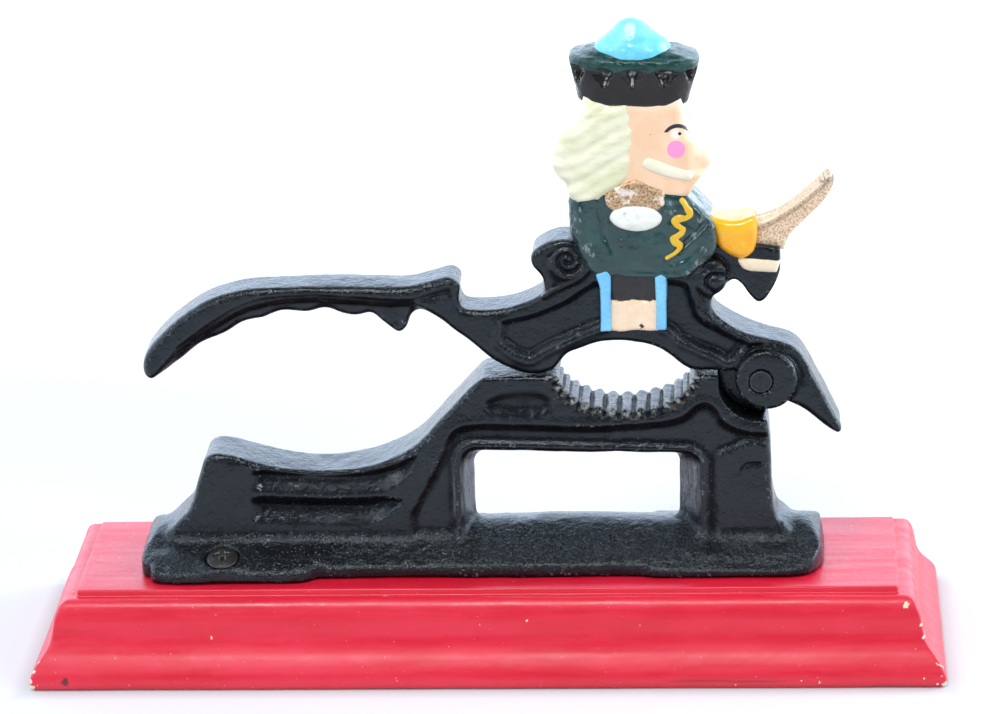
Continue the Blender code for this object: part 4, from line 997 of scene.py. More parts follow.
# ------------------------------------------------------------------ the toy soldier
def block_for(points, half, step, room=2.2):
    p = np.asarray([q[:2] for q in points], float)
    return Block((p[:, 0].min() - room, -half - room, p[:, 1].min() - room),
                 (p[:, 0].max() + room, half + room, p[:, 1].max() + room), step)


def cushion(d, half, edge):
    """Half thickness of a plate with round edges at each place of its outline."""
    t = np.clip(d + edge, 0, edge)
    return half - edge + np.sqrt(np.maximum(edge * edge - t * t, 0))


COAT_GLINTS = ((27.5, 126.7, 0.9), (28.1, 129.8, 0.7), (27.7, 123.5, 0.6), (30.2, 118.8, 1.3), (31.2, 116.6, 0.8), (61.0, 126.6, 1.0), (58.8, 122.0, 1.0), (61.4, 117.8, 0.9), (52.6, 131.3, 0.8), (53.3, 128.4, 0.8), (59.7, 113.7, 1.2), (57.0, 110.8, 0.9), (60.3, 131.2, 0.9), (63.2, 128.3, 0.7), (33.4, 119.1, 0.6))
COAT = [
    (25.6, 133.0), (25.0, 128.0), (25.2, 122.0), (26.8, 117.0), (29.6, 112.4), (32.5, 110.2, 1),
    (57.0, 108.2, 1), (59.0, 111.0), (62.4, 114.0), (65.0, 117.0), (65.4, 122.6), (64.0, 126.2), (60.2, 130.2),
    (56.2, 133.4), (45.0, 135.0), (32.0, 134.6),
]
HEAD_FRONT = [
    (36.0, 161.2, 1), (36.0, 134.5, 1), (42.3, 134.6), (46.6, 133.4), (49.8, 132.2), (53.1, 131.4), (55.8, 131.3),
    (57.8, 133.0), (59.6, 136.0), (61.4, 138.4), (63.2, 140.0), (63.9, 142.0), (63.0, 144.2), (60.6, 146.6),
    (58.4, 149.6), (56.9, 153.4), (56.5, 157.0), (56.8, 161.2, 1),
]
HAIR = [
    (29.6, 161.2, 1), (29.2, 158.4), (27.9, 155.2), (25.2, 153.0), (22.2, 149.7), (20.6, 145.6), (20.5, 142.2), (22.0, 138.8),
    (24.4, 136.0), (25.0, 133.3), (26.4, 131.4), (28.7, 130.5), (32.4, 130.8), (35.4, 131.8), (38.4, 133.6),
    (41.1, 136.4), (42.7, 140.0), (43.3, 144.2), (43.9, 149.0), (43.6, 154.5), (43.0, 161.2, 1),
]


def build_figure(quick):
    step = 0.55 if quick else 0.34
    pieces = []

    # coat with arm, cuff crease, back-arm groove and folds
    b = block_for(COAT, 9.9, step)
    X, Z = b.X, b.Z
    d = b.shape(spline(COAT, 1.0))
    half = np.full(X.shape, 8.9, np.float32)
    half = half + 0.5 * np.exp(-((X - 44) / 11.0) ** 2 - ((Z - 120) / 10.0) ** 2)
    groove = b.line(spline([(33.2, 134.0), (33.4, 129.0), (34.4, 123.4), (36.6, 118.0), (39.0, 114.0)], 1.0, False))
    half = half - 0.75 * np.exp(-(groove / 0.8) ** 2) * smooth((Z - 114.5) / 9.0)
    arm = b.line(spline([(61.9, 125.4), (59.2, 122.4), (56.2, 119.6), (54.6, 117.6)], 1.0, False))
    half = half - 0.85 * np.exp(-(arm / 0.75) ** 2)
    fold = b.line(spline([(60.2, 118.9), (57.4, 116.2), (53.0, 113.6)], 1.0, False))
    half = half - 0.45 * np.exp(-(fold / 0.8) ** 2)
    shoulder = b.line(spline([(50.8, 131.8), (52.6, 129.4), (52.6, 126.2)], 1.0, False))
    half = half - 0.45 * np.exp(-(shoulder / 0.8) ** 2)
    hem = np.exp(-((Z - 112.0) / 0.9) ** 2) * smooth((X - 33.5) / 2.0) * smooth((56.0 - X) / 2.0)
    half = half - 0.30 * hem
    half = half - 0.8 * smooth((110.6 - Z) / 2.0)
    coat_half = half.copy()
    coat_d = d.copy()
    b.add(b.plate(d, half, 2.2 + 1.8 * smooth((31.0 - X) / 5.0)))
    green, s, tone = gloss_paint("green_coat_paint", (0.005, 0.036, 0.036), (0.010, 0.058, 0.056), 50, 0.19,
                                 (0.02, 0.018, 0.016), 0.79, brush=(1, 1, 0.3))
    x, y, z = s.xyz()
    # painted highlights: ragged pale green-white glints on the coat's edges, arm and hem, standing in for gloss
    # reflections
    xr = s.add(x, s.mul(s.sub(s.noise(1.4, 3, 0.65, seed=151), 0.5), 3.2))
    zr = s.add(z, s.mul(s.sub(s.noise(1.3, 3, 0.65, seed=152), 0.5), 3.2))
    scuff = s.disc(xr, zr, COAT_GLINTS[0][0], COAT_GLINTS[0][1], COAT_GLINTS[0][2], 0.35)
    for cx, cz, cr in COAT_GLINTS[1:]:
        scuff = s.most(scuff, s.disc(xr, zr, cx, cz, cr, 0.35))
    scuff = s.mul(scuff, s.ramp(s.noise(0.9, 3, 0.65, stretch=(1.0, 1.0, 0.45), seed=153), 0.44, 0.56))
    s.tree.links.new(s.mix(s.mul(scuff, 0.35), tone, (0.46, 0.56, 0.58)), s.out.inputs["Base Color"])
    patch = s.ramp(s.noise(8.0, 2, 0.5, seed=55), 0.44, 0.60)
    dapple = s.mul(s.noise(2.3, 3, 0.6, seed=56), s.add(0.25, s.mul(patch, 1.6)))
    s.bump(s.add(dapple, s.mul(s.noise(0.9, 3, 0.6, seed=57), 0.15)), 0.9, 0.55)
    s.tree.links.new(s.ramp(s.noise(1.2, 3, 0.6, seed=58), 0.3, 0.7, 0.09, 0.20), s.out.inputs["Roughness"])
    s.out.inputs["Coat Roughness"].default_value = 0.06
    s.out.inputs["Coat Weight"].default_value = 0.5
    coat = sculpt("coat", b, "lever", green, lumps=((4.2, 0.24, 51), (1.9, 0.12, 52)))
    pieces.append(coat)

    # braid: a raised, hand-run snake of yellow
    path = spline([(55.9, 132.2), (56.9, 130.6), (58.2, 128.2), (57.0, 127.0), (55.0, 127.3), (53.5, 126.5), (54.3, 125.0),
                   (56.3, 124.0), (55.3, 122.5), (53.0, 121.4), (53.7, 120.2), (55.4, 119.2), (54.0, 117.3), (51.6, 115.8)], 0.4, False)
    b = block_for(path.tolist(), 10.6, step * 0.75)
    X, Z = b.X, b.Z
    lane = b.line(path)
    blob = np.zeros(X.shape, np.float32)
    for bx, bz, br in ((57.5, 129.1, 0.75), (55.0, 126.7, 1.05), (55.6, 122.9, 0.35), (54.4, 120.2, 0.95), (56.3, 131.6, 0.3)):
        blob += br * np.exp(-((X - bx) ** 2 + (Z - bz) ** 2) / 1.6)
    dd = lane - 0.56 - blob
    cd = b.shape(spline(COAT, 1.0))
    base = 9.15 + 0.3 * np.exp(-((X - 44) / 11.0) ** 2 - ((Z - 120) / 10.0) ** 2)
    surface = cushion(cd, base, 2.6)
    b.add(b.between(dd, -30, 30, 0.1))
    b.f = b.plate(dd, surface + 0.42 + 0.2 * np.minimum(blob, 1), 0.42)
    inner = b.plate(dd - 1.0, surface - 0.9, 0.1)
    yellow, s, tone = gloss_paint("yellow_braid_paint", (0.86, 0.46, 0.012), (0.72, 0.50, 0.030), 60, 0.30)
    pieces.append(sculpt("coat_braid", b, "lever", yellow, lumps=((1.5, 0.10, 61),)))

    # jabot: a soft oval pad
    oval = spline([(36.0, 127.4), (37.4, 129.6), (40.4, 130.8), (44.0, 130.9), (48.2, 130.0), (50.6, 127.7), (50.0, 125.8),
                   (47.4, 124.0), (43.2, 123.3), (39.0, 124.4), (36.8, 125.8)], 0.8)
    b = block_for(oval.tolist(), 10.8, step)
    d = b.shape(oval)
    pad = 9.3 + 1.35 * np.sqrt(np.clip(-d / 3.6, 0, 1))
    pad = pad - 0.18 * np.exp(-(b.line([(38.6, 127.2), (48.6, 127.6)]) / 0.8) ** 2)
    b.add(b.plate(d, pad, 0.9))
    white, s, tone = gloss_paint("white_jabot_paint", (0.84, 0.87, 0.78), (0.93, 0.95, 0.89), 65, 0.26,
                                 (0.16, 0.17, 0.14), 0.77)
    smudge = s.mul(s.ramp(s.noise(2.2, 4, 0.65, seed=68), 0.54, 0.66), s.ramp(s.xyz()[0], 45.0, 38.0, 0.15, 0.55))
    s.tree.links.new(s.mix(smudge, tone, (0.34, 0.37, 0.31)), s.out.inputs["Base Color"])
    pieces.append(sculpt("jabot", b, "lever", white, lumps=((2.4, 0.10, 66),)))

    # collar: bronze glitter over a lumpy roll
    loop = spline([(34.6, 133.6), (35.2, 130.4), (37.4, 128.9), (43.6, 129.2), (49.9, 128.4), (51.4, 130.6), (51.2, 134.6),
                   (47.6, 136.2), (43.6, 138.0), (40.6, 137.4), (37.6, 136.4)], 0.8)
    b = block_for(loop.tolist(), 10.0, step * 0.85)
    d = b.shape(loop)
    lump = 8.6 + 0.9 * np.sqrt(np.clip(-d / 3.0, 0, 1))
    b.add(b.plate(d, lump, 0.9))
    made, s = material("bronze_glitter", (0.55, 0.36, 0.19), 0.34, metallic=0.45)
    flakes = s.noise(0.55, 2, 0.6, seed=71)
    glint_patch_noise = s.noise(2.6, 3, 0.5, seed=72)
    tone = s.mix(s.ramp(flakes, 0.32, 0.66), (0.30, 0.165, 0.075), (0.72, 0.50, 0.30))
    # painted highlight: near-white blotches on the collar where gloss would catch the light
    tone = s.mix(s.ramp(glint_patch_noise, 0.52, 0.62), tone, (0.98, 0.86, 0.72))
    s.tree.links.new(tone, s.out.inputs["Base Color"])
    s.tree.links.new(s.ramp(flakes, 0.3, 0.7, 0.22, 0.5), s.out.inputs["Roughness"])
    s.bump(s.add(s.mul(flakes, 0.6), s.mul(glint_patch_noise, 1.8)), 0.8, 0.24)
    pieces.append(sculpt("collar", b, "lever", made, lumps=((1.7, 0.16, 73), (0.8, 0.07, 74))))

    # face with nose, brow shelf and chin
    b = block_for(HEAD_FRONT, 9.6, step)
    X, Z = b.X, b.Z
    d = b.shape(spline(HEAD_FRONT, 1.0))
    half = np.full(X.shape, 8.5, np.float32)
    half = half + 0.5 * np.exp(-((X - 53.6) / 4.2) ** 2 - ((Z - 146.4) / 3.4) ** 2)
    half = half - 3.0 * smooth((X - 57.2) / 4.8) * smooth((Z - 138.6) / 1.8) * smooth((148.8 - Z) / 3.0)
    half = half - 0.35 * np.exp(-((X - 56.4) / 1.7) ** 2 - ((Z - 150.2) / 2.2) ** 2)
    half = half - 0.5 * smooth((134.6 - Z) / 2.5)
    half = half - 0.9 * smooth((Z - 156.6) / 3.4)
    b.add(b.plate(d, half, 2.3))
    b.add(b.ball((60.9, 0.0, 142.0), (3.3, 4.8, 2.7)), 1.8)
    made, s = material("peach_face_paint", (0.93, 0.66, 0.46), 0.36, coat=0.12, coat_rough=0.2)
    x, y, z = s.xyz()
    drift = s.noise(6.0, 3, 0.5, seed=81)
    tone = s.mix(s.ramp(drift, 0.38, 0.64), (0.93, 0.61, 0.385), (0.96, 0.67, 0.455))
    tone = s.mix(s.mul(s.ramp(z, 157.0, 159.4), 0.8), tone, (0.93, 0.80, 0.66))
    # eye white, rosy disc, arched brow, dot of a pupil: painted from the side, so the paint follows the turn of the cheek
    ay = s.math("ABSOLUTE", y)
    zf = s.add(z, s.mul(s.sub(9.0, ay), 0.37))
    side = s.ramp(ay, 4.4, 5.0)
    tone = s.mix(s.mul(s.mul(s.disc(x, zf, 54.5, 151.0, 1.35, 0.6), 0.8), side), tone, (0.98, 0.95, 0.86))
    wobble = s.mul(s.sub(s.noise(2.0, 2, 0.5, seed=84), 0.5), 0.5)
    tone = s.mix(s.mul(s.disc(s.add(x, wobble), zf, 54.6, 146.7, 2.45, 0.10), side), tone, (0.97, 0.33, 0.63))
    dx, dz = s.sub(x, 55.2), s.sub(zf, 149.35)
    reach = s.math("SQRT", s.add(s.mul(dx, dx), s.mul(s.mul(dz, dz), 1.02)))
    thick = s.ramp(s.math("ABSOLUTE", dx), 1.0, 3.8, 0.56, 0.40)
    band = s.ramp(s.sub(s.math("ABSOLUTE", s.sub(reach, 4.05)), thick), -0.08, 0.08, 1.0, 0.0)
    band = s.mul(band, s.mul(s.ramp(s.sub(dz, s.mul(dx, 0.02)), 2.15, 2.35), side))
    tone = s.mix(band, tone, (0.012, 0.015, 0.022))
    tone = s.mix(s.mul(s.disc(x, zf, 55.6, 151.15, 0.48, 0.08), side), tone, (0.008, 0.007, 0.008))
    tone = s.mix(s.mul(s.disc(x, zf, 47.7, 151.0, 0.20, 0.06), 0.6), tone, (0.30, 0.12, 0.06))
    # painted shade: a faint darker spot in the crease at the nose
    crease = s.disc(x, z, 60.0, 143.2, 0.62, 0.5)
    tone = s.mix(s.mul(crease, 0.25), tone, (0.70, 0.38, 0.22))
    s.tree.links.new(tone, s.out.inputs["Base Color"])
    s.tree.links.new(s.ramp(s.noise(2.4, 3, 0.6, seed=85), 0.3, 0.7, 0.28, 0.44), s.out.inputs["Roughness"])
    s.bump(s.add(s.noise(3.0, 2, 0.5, seed=86), s.mul(s.noise(0.9, 3, 0.6, seed=87), 0.15)), 0.35, 0.22)
    pieces.append(sculpt("face", b, "lever", made, lumps=((4.5, 0.10, 88), (2.0, 0.04, 89))))

    # moustache: a fat brush stroke that stands proud
    path = spline([(47.1, 142.5), (50.5, 141.2), (54.6, 139.8), (58.6, 138.9)], 0.5, False)
    b = block_for([(44.0, 136.4), (61.5, 145.4)], 10.2, step * 0.8, 1.0)
    X, Z = b.X, b.Z
    lane = b.line(path)
    fat = np.interp(X, [45, 47.5, 52, 57, 60], [1.75, 1.85, 1.85, 1.55, 1.2])
    d = lane - fat
    head_d = b.shape(spline(HEAD_FRONT, 1.0))
    skin = cushion(head_d, 8.5 - 1.6 * smooth((X - 57.2) / 4.8), 2.9)
    b.add(b.plate(d, skin + 0.75 * np.sqrt(np.clip(-d / 1.4, 0, 1)), 0.5))
    ivory, s, tone = gloss_paint("ivory_brush_paint", (0.87, 0.82, 0.62), (0.93, 0.89, 0.72), 90, 0.34)
    pieces.append(sculpt("moustache", b, "lever", ivory, lumps=((1.8, 0.08, 91),)))

    # hair with swept strands
    b = block_for(HAIR, 10.2, step)
    X, Z = b.X, b.Z
    d = b.shape(spline(HAIR, 1.0))
    half = 9.1 + 0.5 * np.exp(-((X - 32) / 8.0) ** 2 - ((Z - 144) / 9.0) ** 2)
    along = (X - 30) * 0.47 + (Z - 145) * -0.88 + 0.012 * (X - 34) ** 2
    half = half + 0.18 * np.sin(along * 0.85 + 0.5 * np.sin(X * 0.35)) + 0.20 * np.sin(along * 1.8 + 1.0 + 0.8 * np.sin(X * 0.4))
    half = half - 1.5 * smooth((Z - 156.6) / 3.4)
    b.add(b.plate(d, half, 3.4))
    made, s = material("cream_hair_paint", (0.87, 0.86, 0.68), 0.34, coat=0.1, coat_rough=0.2)
    x, y, z = s.xyz()
    sweep = s.noise(1.5, 3, 0.55, seed=95, stretch=(0.35, 1.0, 1.0), turn=(0, math.radians(-28), 0))
    drift = s.noise(7.0, 2, 0.5, seed=96)
    tone = s.mix(s.ramp(s.add(s.mul(sweep, 0.5), s.mul(drift, 0.5)), 0.40, 0.60), (0.76, 0.76, 0.50), (0.87, 0.85, 0.64))
    chip = s.ramp(s.noise(0.9, 2, 0.5, seed=99), 0.80, 0.82)
    tear = s.mul(s.sub(s.noise(0.9, 3, 0.6, seed=100), 0.5), 1.6)
    xt, zt = s.add(x, tear), s.add(z, tear)
    near = s.most(s.disc(xt, zt, 26.1, 156.1, 0.55, 0.15), s.disc(xt, zt, 28.1, 157.3, 0.36, 0.12))
    tone = s.mix(s.most(s.mul(chip, 0.7), near), tone, (0.045, 0.05, 0.05))
    s.tree.links.new(tone, s.out.inputs["Base Color"])
    s.tree.links.new(s.ramp(sweep, 0.3, 0.7, 0.26, 0.44), s.out.inputs["Roughness"])
    s.bump(s.add(s.mul(sweep, 0.8), s.mul(drift, 0.7)), 0.5, 0.26)
    pieces.append(sculpt("hair", b, "lever", made, lumps=((3.4, 0.12, 97), (1.6, 0.05, 98))))

    # shako: flared oval drum, notched brim, concave green top
    b = Block((22.8, -12.0, 155.6), (63.6, 12.0, 177.2), step)
    tilt = math.radians(2.0)
    x = (b.x - 43.2)[:, None, None]
    z0 = (b.z - 165.0)[None, None, :]
    y = b.y[None, :, None]
    u = x * math.cos(tilt) - z0 * math.sin(tilt)
    w = x * math.sin(tilt) + z0 * math.cos(tilt)
    grow = np.clip((w + 6.0) / 12.0, -0.2, 1.3)
    grow = grow ** 1.0
    ax, ay = 15.0 + 2.9 * grow, 8.3 + 1.85 * grow
    square = 2.7 + 1.0 * smooth((u + 2.0) / 12.0)
    r = (np.abs(u / ax) ** square + np.abs(y / ay) ** square) ** (1.0 / square)
    wall = (r - 1.0) * ay * 0.96
    # the drum's side is faceted a little, with V-shaped gouges under the rim
    turn = np.arctan2(y / ay, u / ax)
    dents = np.zeros_like(wall)
    ring = [(-34.0, 0.6), (-62.0, 0.1), (-90.4, -0.5), (-117.5, -0.4), (-148.0, -0.4), (176.0, 0.2), (2.0, 0.6)]
    ring += [(-a, w0) for a, w0 in ring[:5]]
    for a, w0 in ring:
        off = np.abs(np.mod(turn - math.radians(a) + math.pi, 2 * math.pi) - math.pi)
        off = off * np.sqrt((ax * math.sin(math.radians(a))) ** 2 + (ay * math.cos(math.radians(a))) ** 2)
        tall = (w - w0 + 1.4) / 4.4
        vee = np.clip((2.9 * np.clip(tall, 0, 1) - off) / 2.0, 0, 1) * smooth((4.7 - w) / 1.3) * smooth(tall * 2.5)
        dents = np.maximum(dents, vee)
    wall = wall + 1.5 * dents
    base = -(w + 6.4 + 0.4 * r * r)
    crown = w - 6.5 - 2.9 * np.clip(1 - r * r, 0, 1) + 0.35 * np.exp(-((r - 0.84) / 0.08) ** 2)
    f = blend_max(wall, base.astype(np.float32) * 0.95, 1.3)
    f = blend_max(f, crown * 0.95, 1.6)
    b.f = f.astype(np.float32)
    made, s = material("black_hat_enamel", (0.013, 0.010, 0.011), 0.26, ior=1.46)
    x, y, z = s.xyz()
    up = s.normal()[2]
    lumps = s.noise(3.0, 3, 0.55, seed=101)
    fine = s.noise(1.0, 3, 0.6, seed=102)
    edge = s.ramp(s.add(s.add(z, s.mul(x, 0.012)), s.add(s.mul(s.sub(lumps, 0.5), 1.6), s.mul(s.sub(fine, 0.5), 0.8))), 168.8, 169.3)
    fur = s.noise(1.2, 4, 0.65, seed=104, stretch=(0.5, 1.3, 1))
    green = s.mix(s.ramp(fur, 0.36, 0.62), (0.004, 0.027, 0.025), (0.012, 0.068, 0.060))
    tone = s.mix(s.ramp(lumps, 0.4, 0.6), (0.008, 0.006, 0.006), (0.013, 0.010, 0.010))
    worn = s.mul(s.ramp(s.attribute("proud"), 0.05, 0.13), s.ramp(fine, 0.52, 0.64))
    tone = s.mix(s.mul(worn, 0.6), tone, (0.20, 0.17, 0.15))
    # painted reflection: grey-white glints inside the V-notches under the rim
    glint = s.noise(1.7, 2, 0.5, stretch=(0.7, 1.0, 1.6), seed=106)
    notch_glint = s.mul(s.ramp(s.attribute("proud"), -0.05, -0.12), s.mul(s.ramp(z, 163.0, 164.0), s.ramp(glint, 0.47, 0.60)))
    tone = s.mix(s.mul(notch_glint, 0.75), tone, (0.42, 0.43, 0.46))
    tone = s.mix(edge, tone, green)
    s.tree.links.new(tone, s.out.inputs["Base Color"])
    s.tree.links.new(s.ramp(fine, 0.3, 0.7, 0.13, 0.26), s.out.inputs["Roughness"])
    s.bump(s.add(s.mul(lumps, 1.5), s.add(s.mul(fine, 0.5), s.mul(s.mul(fur, edge), 1.1))), 0.7, 0.32)
    pieces.append(sculpt("shako", b, "lever", made, lumps=((3.6, 0.14, 105), (1.7, 0.07, 106))))

    # pompom: a soft bell of blue, paler on top
    b = Block((30.2, -11.0, 166.6), (56.2, 9.6, 183.4), step)
    x = (b.x - 43.0)[:, None, None]
    y = (b.y + 1.5)[None, :, None]
    z = (b.z - 170.2)[None, None, :]
    rr = np.sqrt(x * x + (y * 1.42) ** 2)
    height = np.interp(rr, [0, 1, 2, 3.2, 4.6, 6.2, 8.0, 9.6, 10.6, 11.2], [11.5, 11.4, 11.2, 10.7, 9.5, 7.7, 6.3, 5.3, 4.0, 0.0])
    f = (z - height) * 0.62
    f = blend_max(f, (rr - 10.6) * 0.8, 1.8)
    f = blend_max(f, -(z + 1.2) + 0 * rr, 1.2)
    b.f = f.astype(np.float32)
    made, s = material("sky_blue_paint", (0.16, 0.66, 0.90), 0.30, coat=0.2, coat_rough=0.15)
    x, y, z = s.xyz()
    drift = s.noise(4.0, 3, 0.5, seed=111)
    veil = s.ramp(s.add(z, s.mul(s.sub(drift, 0.5), 6.0)), 174.6, 180.2)
    tone = s.mix(s.ramp(drift, 0.38, 0.62), (0.15, 0.64, 0.91), (0.22, 0.73, 0.94))
    tone = s.mix(s.mul(veil, 0.75), tone, (0.26, 0.76, 0.84))
    s.tree.links.new(tone, s.out.inputs["Base Color"])
    s.tree.links.new(s.ramp(drift, 0.3, 0.7, 0.22, 0.38), s.out.inputs["Roughness"])
    s.bump(s.add(drift, s.mul(s.noise(1.2, 3, 0.5, seed=113), 0.25)), 0.5, 0.35)
    pieces.append(sculpt("pompom", b, "lever", made, lumps=((3.0, 0.22, 114), (1.5, 0.06, 115))))

    # cuff
    loop = spline([(63.4, 126.4), (65.6, 125.4), (70.0, 124.9), (75.6, 126.2, 1), (76.3, 123.4), (76.2, 119.4), (75.3, 115.9, 1),
                   (73.6, 114.4), (71.2, 113.9), (68.4, 115.0), (66.0, 116.8), (64.6, 119.2), (63.6, 122.0)], 0.9)
    b = block_for(loop.tolist(), 7.2, step)
    X, Z = b.X, b.Z
    d = b.shape(loop)
    half = 6.3 + 0.45 * np.exp(-((X - 71) / 4.0) ** 2) - 0.5 * smooth((119.0 - Z) / 5.0)
    b.add(b.plate(d, half, 2.3))
    amber, s, tone = gloss_paint("amber_cuff_paint", (0.95, 0.38, 0.003), (0.97, 0.50, 0.010), 120, 0.20)
    x, y, z = s.xyz()
    over = s.ramp(s.add(z, s.mul(s.sub(s.noise(4.0, 2, 0.5, seed=125), 0.5), 6.0)), 120.5, 125.5)
    tone = s.mix(over, tone, (0.95, 0.55, 0.02))
    s.tree.links.new(tone, s.out.inputs["Base Color"])
    pieces.append(sculpt("cuff", b, "lever", amber, lumps=((2.6, 0.14, 121),)))

    # sword blade with a median ridge
    loop = spline([(73.6, 125.0, 1), (80.0, 126.7), (85.0, 129.6), (89.6, 133.6), (93.6, 137.0), (95.6, 138.2), (96.9, 137.2), (97.0, 134.0),
                   (95.0, 130.0), (90.8, 125.4), (85.4, 120.0), (83.9, 117.0), (83.7, 115.4, 1), (73.6, 115.2, 1)], 0.9)
    b = block_for(loop.tolist(), 4.6, step * 0.85)
    X, Z = b.X, b.Z
    d = b.shape(loop)
    ridge = b.line(spline([(74.0, 122.0), (80.9, 124.3), (85.1, 126.6), (90.3, 130.4), (96.0, 136.4)], 1.0, False))
    half = 2.6 + 1.0 * np.clip(-d / 4.0, 0, 1) + 0.45 * np.exp(-(ridge / 0.9) ** 2)
    b.add(b.plate(d, half, 1.2))
    made, s = material("champagne_glitter", (0.80, 0.58, 0.40), 0.42, metallic=0.25)
    x, y, z = s.xyz()
    flakes = s.noise(0.50, 2, 0.6, seed=131)
    drift = s.noise(4.0, 2, 0.5, seed=132)
    # painted light and shade: the face above the ridge is painted paler as if lit, the face below darker as if shaded
    above = s.sub(z, s.add(s.mul(s.sub(x, 76.0), s.add(0.40, s.mul(s.sub(x, 76.0), 0.015))), 121.8))
    lit = s.ramp(s.add(above, s.mul(s.sub(drift, 0.5), 2.0)), -0.6, 1.2)
    low = s.mix(s.ramp(flakes, 0.36, 0.60), (0.52, 0.35, 0.21), (0.95, 0.73, 0.51))
    high = s.mix(s.ramp(flakes, 0.36, 0.60), (0.76, 0.59, 0.42), (0.91, 0.77, 0.60))
    tone = s.mix(lit, low, high)
    seam = s.mul(s.ramp(s.math("ABSOLUTE", above), 0.5, 1.1, 1.0, 0.0), s.ramp(flakes, 0.42, 0.58))
    tone = s.mix(s.mul(seam, 0.8), tone, (0.22, 0.14, 0.08))
    bare = s.mul(s.disc(x, z, 95.6, 135.8, 2.4, 0.8), s.ramp(s.noise(0.8, 3, 0.6, seed=135), 0.46, 0.58))
    tone = s.mix(s.mul(bare, 0.8), tone, (0.16, 0.15, 0.16))
    s.tree.links.new(tone, s.out.inputs["Base Color"])
    s.tree.links.new(s.ramp(flakes, 0.3, 0.7, 0.30, 0.55), s.out.inputs["Roughness"])
    s.bump(flakes, 0.8, 0.16)
    pieces.append(sculpt("sword_blade", b, "lever", made, lumps=((2.6, 0.08, 133), (1.0, 0.04, 134))))

    # hand: a band across the hilt
    loop = spline([(70.7, 113.8), (71.6, 111.4), (73.6, 110.2), (77.0, 109.8), (81.6, 109.6, 1), (82.6, 113.3, 1), (77.0, 113.9), (73.0, 114.2)], 0.7)
    b = block_for(loop.tolist(), 6.4, step * 0.85)
    d = b.shape(loop)
    b.add(b.plate(d, 5.2 + 0.5 * np.clip(-d / 1.6, 0, 1), 0.9))
    cream, s, tone = gloss_paint("cream_hand_paint", (0.85, 0.70, 0.48), (0.90, 0.77, 0.56), 140, 0.30)
    pieces.append(sculpt("hand", b, "lever", cream, lumps=((2.0, 0.10, 141),)))

    # breeches and boots: two soft bumps, black above and bare wood colour below
    loop = np.array([(33.4, 94.0), (51.0, 94.0), (50.6, 112.2), (33.8, 112.2)])
    b = block_for(loop.tolist(), 9.0, step)
    X, Z = b.X, b.Z
    d = b.shape(loop)
    half = 7.0 + 1.15 * np.exp(-((X - 39.2) / 2.6) ** 2) + 1.15 * np.exp(-((X - 46.6) / 2.4) ** 2)
    half = half + 0.35 * smooth((103.2 - Z) / 1.2)
    b.add(b.plate(d, half, 1.2))
    made, s = material("breeches_paint", (0.95, 0.76, 0.56), 0.30, coat=0.1, coat_rough=0.15)
    x, y, z = s.xyz()
    wave = s.mul(s.sub(s.noise(2.2, 3, 0.6, seed=151), 0.5), 2.2)
    upper = s.ramp(s.add(z, wave), 102.9, 103.2)
    drift = s.noise(3.0, 3, 0.5, seed=152)
    skin = s.mix(s.ramp(drift, 0.36, 0.68), (0.96, 0.72, 0.50), (0.97, 0.76, 0.56))
    jag = s.mul(s.sub(s.noise(0.8, 3, 0.6, seed=153), 0.5), 2.4)
    chip = s.disc(s.add(x, jag), s.add(z, jag), 44.4, 95.6, 0.7, 0.2)
    skin = s.mix(chip, skin, (0.02, 0.018, 0.016))
    black = s.mix(s.ramp(drift, 0.4, 0.6), (0.008, 0.007, 0.007), (0.014, 0.012, 0.011))
    tone = s.mix(upper, skin, black)
    s.tree.links.new(tone, s.out.inputs["Base Color"])
    s.tree.links.new(s.ramp(drift, 0.3, 0.7, 0.18, 0.34), s.out.inputs["Roughness"])
    s.bump(s.add(drift, s.mul(s.noise(1.0, 3, 0.6, seed=155), 0.3)), 0.5, 0.28)
    s.out.inputs["Coat Weight"].default_value = 0.2
    s.out.inputs["Coat Roughness"].default_value = 0.08
    pieces.append(sculpt("breeches", b, "lever", made, lumps=((2.6, 0.13, 156), (1.2, 0.05, 157))))

    # blue stripes down both legs
    for name, loop, seed in (
        ("stripe_left", [(32.0, 110.6), (32.7, 112.2), (34.1, 112.8), (35.6, 112.1), (36.1, 110.2), (36.0, 102.0), (36.1, 94.2, 1),
                         (33.0, 94.2, 1), (33.1, 101.0), (32.9, 107.4)], 161),
        ("stripe_right", [(48.2, 110.6), (48.9, 112.0), (50.1, 112.3), (51.2, 111.4), (51.4, 108.0), (51.2, 101.0), (51.1, 94.4, 1),
                          (48.3, 94.4, 1), (48.4, 101.0), (48.2, 107.4)], 171)):
        shape = spline(loop, 0.7)
        b = block_for(loop, 9.6, step * 0.8)
        d = b.shape(shape)
        b.add(b.plate(d, 8.3 + 0.55 * np.sqrt(np.clip(-d / 1.5, 0, 1)), 0.6))
        blue, s, tone = gloss_paint(name + "_paint", (0.17, 0.54, 0.86), (0.23, 0.64, 0.92), seed, 0.28)
        pieces.append(sculpt(name, b, "lever", blue, lumps=((2.0, 0.10, seed),)))
    return pieces


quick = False
anvil = build_anvil(quick)
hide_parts("anvil_casting")
lever = build_lever(quick)
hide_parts("lever_casting")
board = build_board()
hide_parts("wood_base")
screw_front = build_screw("front_wood_screw", -74.0, -16.0, 201, 8.0)
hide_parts("wood_screw_front")
screw_rear = build_screw("rear_wood_screw", 70.0, 16.0, 211, 31.0)
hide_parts("wood_screw_rear")
rivet = build_rivet()
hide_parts("pivot_pin")
build_figure(quick)


